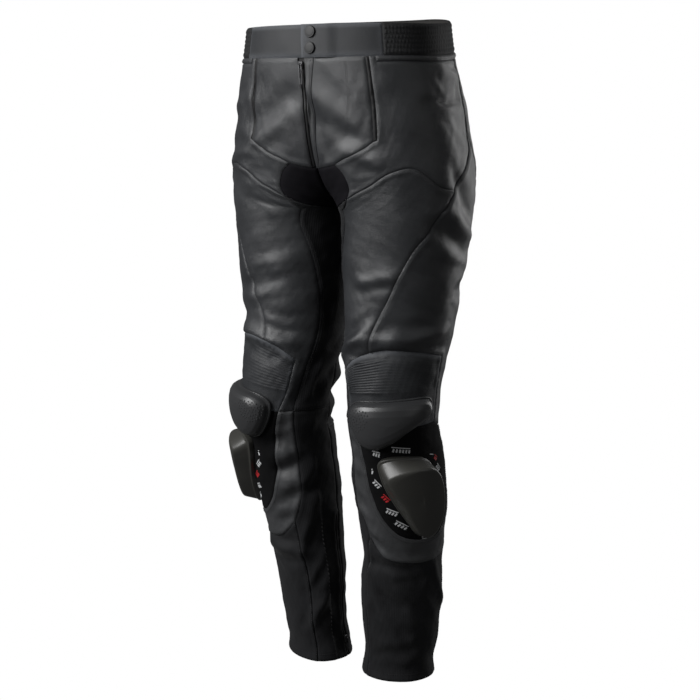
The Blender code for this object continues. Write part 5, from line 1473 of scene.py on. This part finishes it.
def looks():
    hide = (0.0200, 0.0212, 0.0235)
    look("leather", hide, 0.42, leather(0.00016, 0.36, 0.50), Specular_IOR_Level=0.50)
    # The waistband and knee accordion: lighter along their sewn edges, partly worn leather and partly a
    # painted highlight
    look("band", hide, 0.55, leather(0.00014, 0.50, 0.62, 3.5), Specular_IOR_Level=0.28)
    look("surround", (0.0360, 0.0372, 0.0395), 0.46, leather(0.00016, 0.40, 0.54), Specular_IOR_Level=0.55)
    # A darker, duller copy of the stretch look, for the gusset: the fabric's own near-black colour with
    # painted shade of the crotch on top
    look("crotch", (0.0042, 0.0038, 0.0052), 0.80, Specular_IOR_Level=0.10)
    look("stretch", (0.0075, 0.0078, 0.0090), 0.75, ribbed(330.0, 0.00012), Specular_IOR_Level=0.22,
         Sheen_Weight=0.04)
    look("elastic", (0.0085, 0.0088, 0.0095), 0.72, ribbed(900.0, 0.00012), Specular_IOR_Level=0.28)
    look("loop", (0.0036, 0.0036, 0.0040), 0.92, speckled(1500.0, 0.00060, 0.7), Specular_IOR_Level=0.12)
    look("trim", (0.0060, 0.0060, 0.0065), 0.62, speckled(1200.0, 0.00010), Specular_IOR_Level=0.25)
    look("teeth", (0.0120, 0.0120, 0.0130), 0.45, Specular_IOR_Level=0.40)
    look("inside", (0.0240, 0.0230, 0.0220), 0.85, speckled(700.0, 0.00015), Specular_IOR_Level=0.25)
    look("cup", (0.0260, 0.0265, 0.0280), 0.36, speckled(900.0, 0.00004, 0.15), Specular_IOR_Level=0.50)
    look("puck", (0.0330, 0.0325, 0.0290), 0.38, speckled(1300.0, 0.00005, 0.15), Specular_IOR_Level=0.50)
    look("stud", (0.0110, 0.0112, 0.0120), 0.50, Specular_IOR_Level=0.28)
    look("metal", (0.0800, 0.0800, 0.0830), 0.32, Metallic=1.0)
    look("thread", (0.0160, 0.0165, 0.0180), 0.48, Specular_IOR_Level=0.50)
    look("print_white", (0.5200, 0.5300, 0.5400), 0.60)
    look("print_red", (0.4200, 0.0120, 0.0160), 0.60)
    look("paper", (0.0, 0.0, 0.0), 1.0, Specular_IOR_Level=0.0, Emission_Color=(1.0, 1.0, 1.0, 1.0),
         Emission_Strength=1.0)


def area_light(name, azimuth, elevation, distance, size, power):
    """A soft box at this bearing from the front and height in degrees, which faces the garment's middle."""
    turn, rise = math.radians(azimuth), math.radians(elevation)
    back = Vector((math.sin(turn) * math.cos(rise), -math.cos(turn) * math.cos(rise), math.sin(rise)))
    data = bpy.data.lights.new(name, "AREA")
    data.shape = "RECTANGLE"
    data.size, data.size_y = size
    data.energy = power
    facing(name, data, Vector(LIT_MIDDLE) + back * distance, back)


def facing(name, data, place, back):
    """An object of this data that looks away from its back direction."""
    obj = bpy.data.objects.new(name, data)
    obj.location = place
    obj.rotation_euler = back.to_track_quat("Z", "Y").to_euler()
    bpy.context.scene.collection.objects.link(obj)
    return obj


def lights():
    area_light("key", -32, 32, 2.6, (1.3, 2.0), KEY_POWER)
    area_light("rim", 158, 12, 2.4, (0.9, 2.0), RIM_POWER)
    area_light("fill", 75, 20, 3.0, (1.6, 2.0), FILL_POWER)
    world = bpy.data.worlds.new("room")
    world.use_nodes = True
    room = world.node_tree.nodes["Background"]
    room.inputs["Color"].default_value = (1.0, 1.0, 1.0, 1.0)
    room.inputs["Strength"].default_value = WORLD_STRENGTH
    bpy.context.scene.world = world


def backdrop():
    """A plain white floor that curves up into a wall all round, and neither lights nor shades the pants."""
    profile = [(FLOOR_RADIUS, FLOOR)]
    for angle in math.pi / 2 * np.arange(1, COVE_STEPS + 1) / COVE_STEPS:
        profile.append((FLOOR_RADIUS + COVE * math.sin(angle), FLOOR + COVE * (1 - math.cos(angle))))
    profile.append((FLOOR_RADIUS + COVE, FLOOR + WALL))
    vertices, faces = turned(profile, FLOOR_SIDES)
    obj = finish_mesh("backdrop", vertices, faces + [tuple(range(FLOOR_SIDES))], ("paper",))
    obj.visible_glossy = False
    obj.visible_diffuse = False
    obj.visible_shadow = False


def camera():
    data = bpy.data.cameras.new("camera")
    data.lens = CAMERA_LENS
    data.sensor_width = CAMERA_SENSOR
    data.shift_x = (PHOTO_SIZE / 2 - PRINCIPAL_X) / PHOTO_SIZE
    data.shift_y = (PRINCIPAL_Y - PHOTO_SIZE / 2) / PHOTO_SIZE
    back = Vector(CAMERA_AT) - Vector(CAMERA_TO)
    bpy.context.scene.camera = facing("camera", data, CAMERA_AT, back)


# The gusset takes the darker crotch look, which holds painted shade; the shin surround has its own grey
# leather
PANEL_LOOK = {"shin_surround": "surround", "gusset": "crotch"}
MATERIAL = {}
SHELLS = {}


def main():
    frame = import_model()
    looks()
    for side in ("left", "right"):
        sewn_panels(side)
        knee_accordion(side)
        cup = moulding(f"knee_cup_{side}", CUP_OUTLINE, CUP_CROWN, CUP_RINGS, CUP_SHIFT[side], side, "cup",
                       "moulded_rubber")
        pips(cup, side)
        moulding(f"knee_slider_{side}", SLIDER_OUTLINE, SLIDER_CROWN, SLIDER_RINGS, SLIDER_SHIFT[side], side,
                 "puck", "hard_plastic", bevels=True)
        print_marks(side)
        zip_teeth(f"calf_teeth_{side}", *CALF_TEETH, side, False, CALF_TEETH_LIFT)
    waistband()
    connection_zip()
    fly()
    zip_teeth("fly_teeth", *FLY_TEETH, "left", True, FLY_TEETH_LIFT)
    press_studs()
    for side in ("left", "right"):
        seam_stitches(side)
    band_stitches()
    for name, solid in frame["nodes"].items():
        if "zip_slider" in name or "zip_pull" in name:
            solid.data.materials.clear()
            solid.data.materials.append(MATERIAL["metal"])
    lights()
    backdrop()
    camera()
    bpy.context.scene.view_settings.view_transform = "Standard"


main()
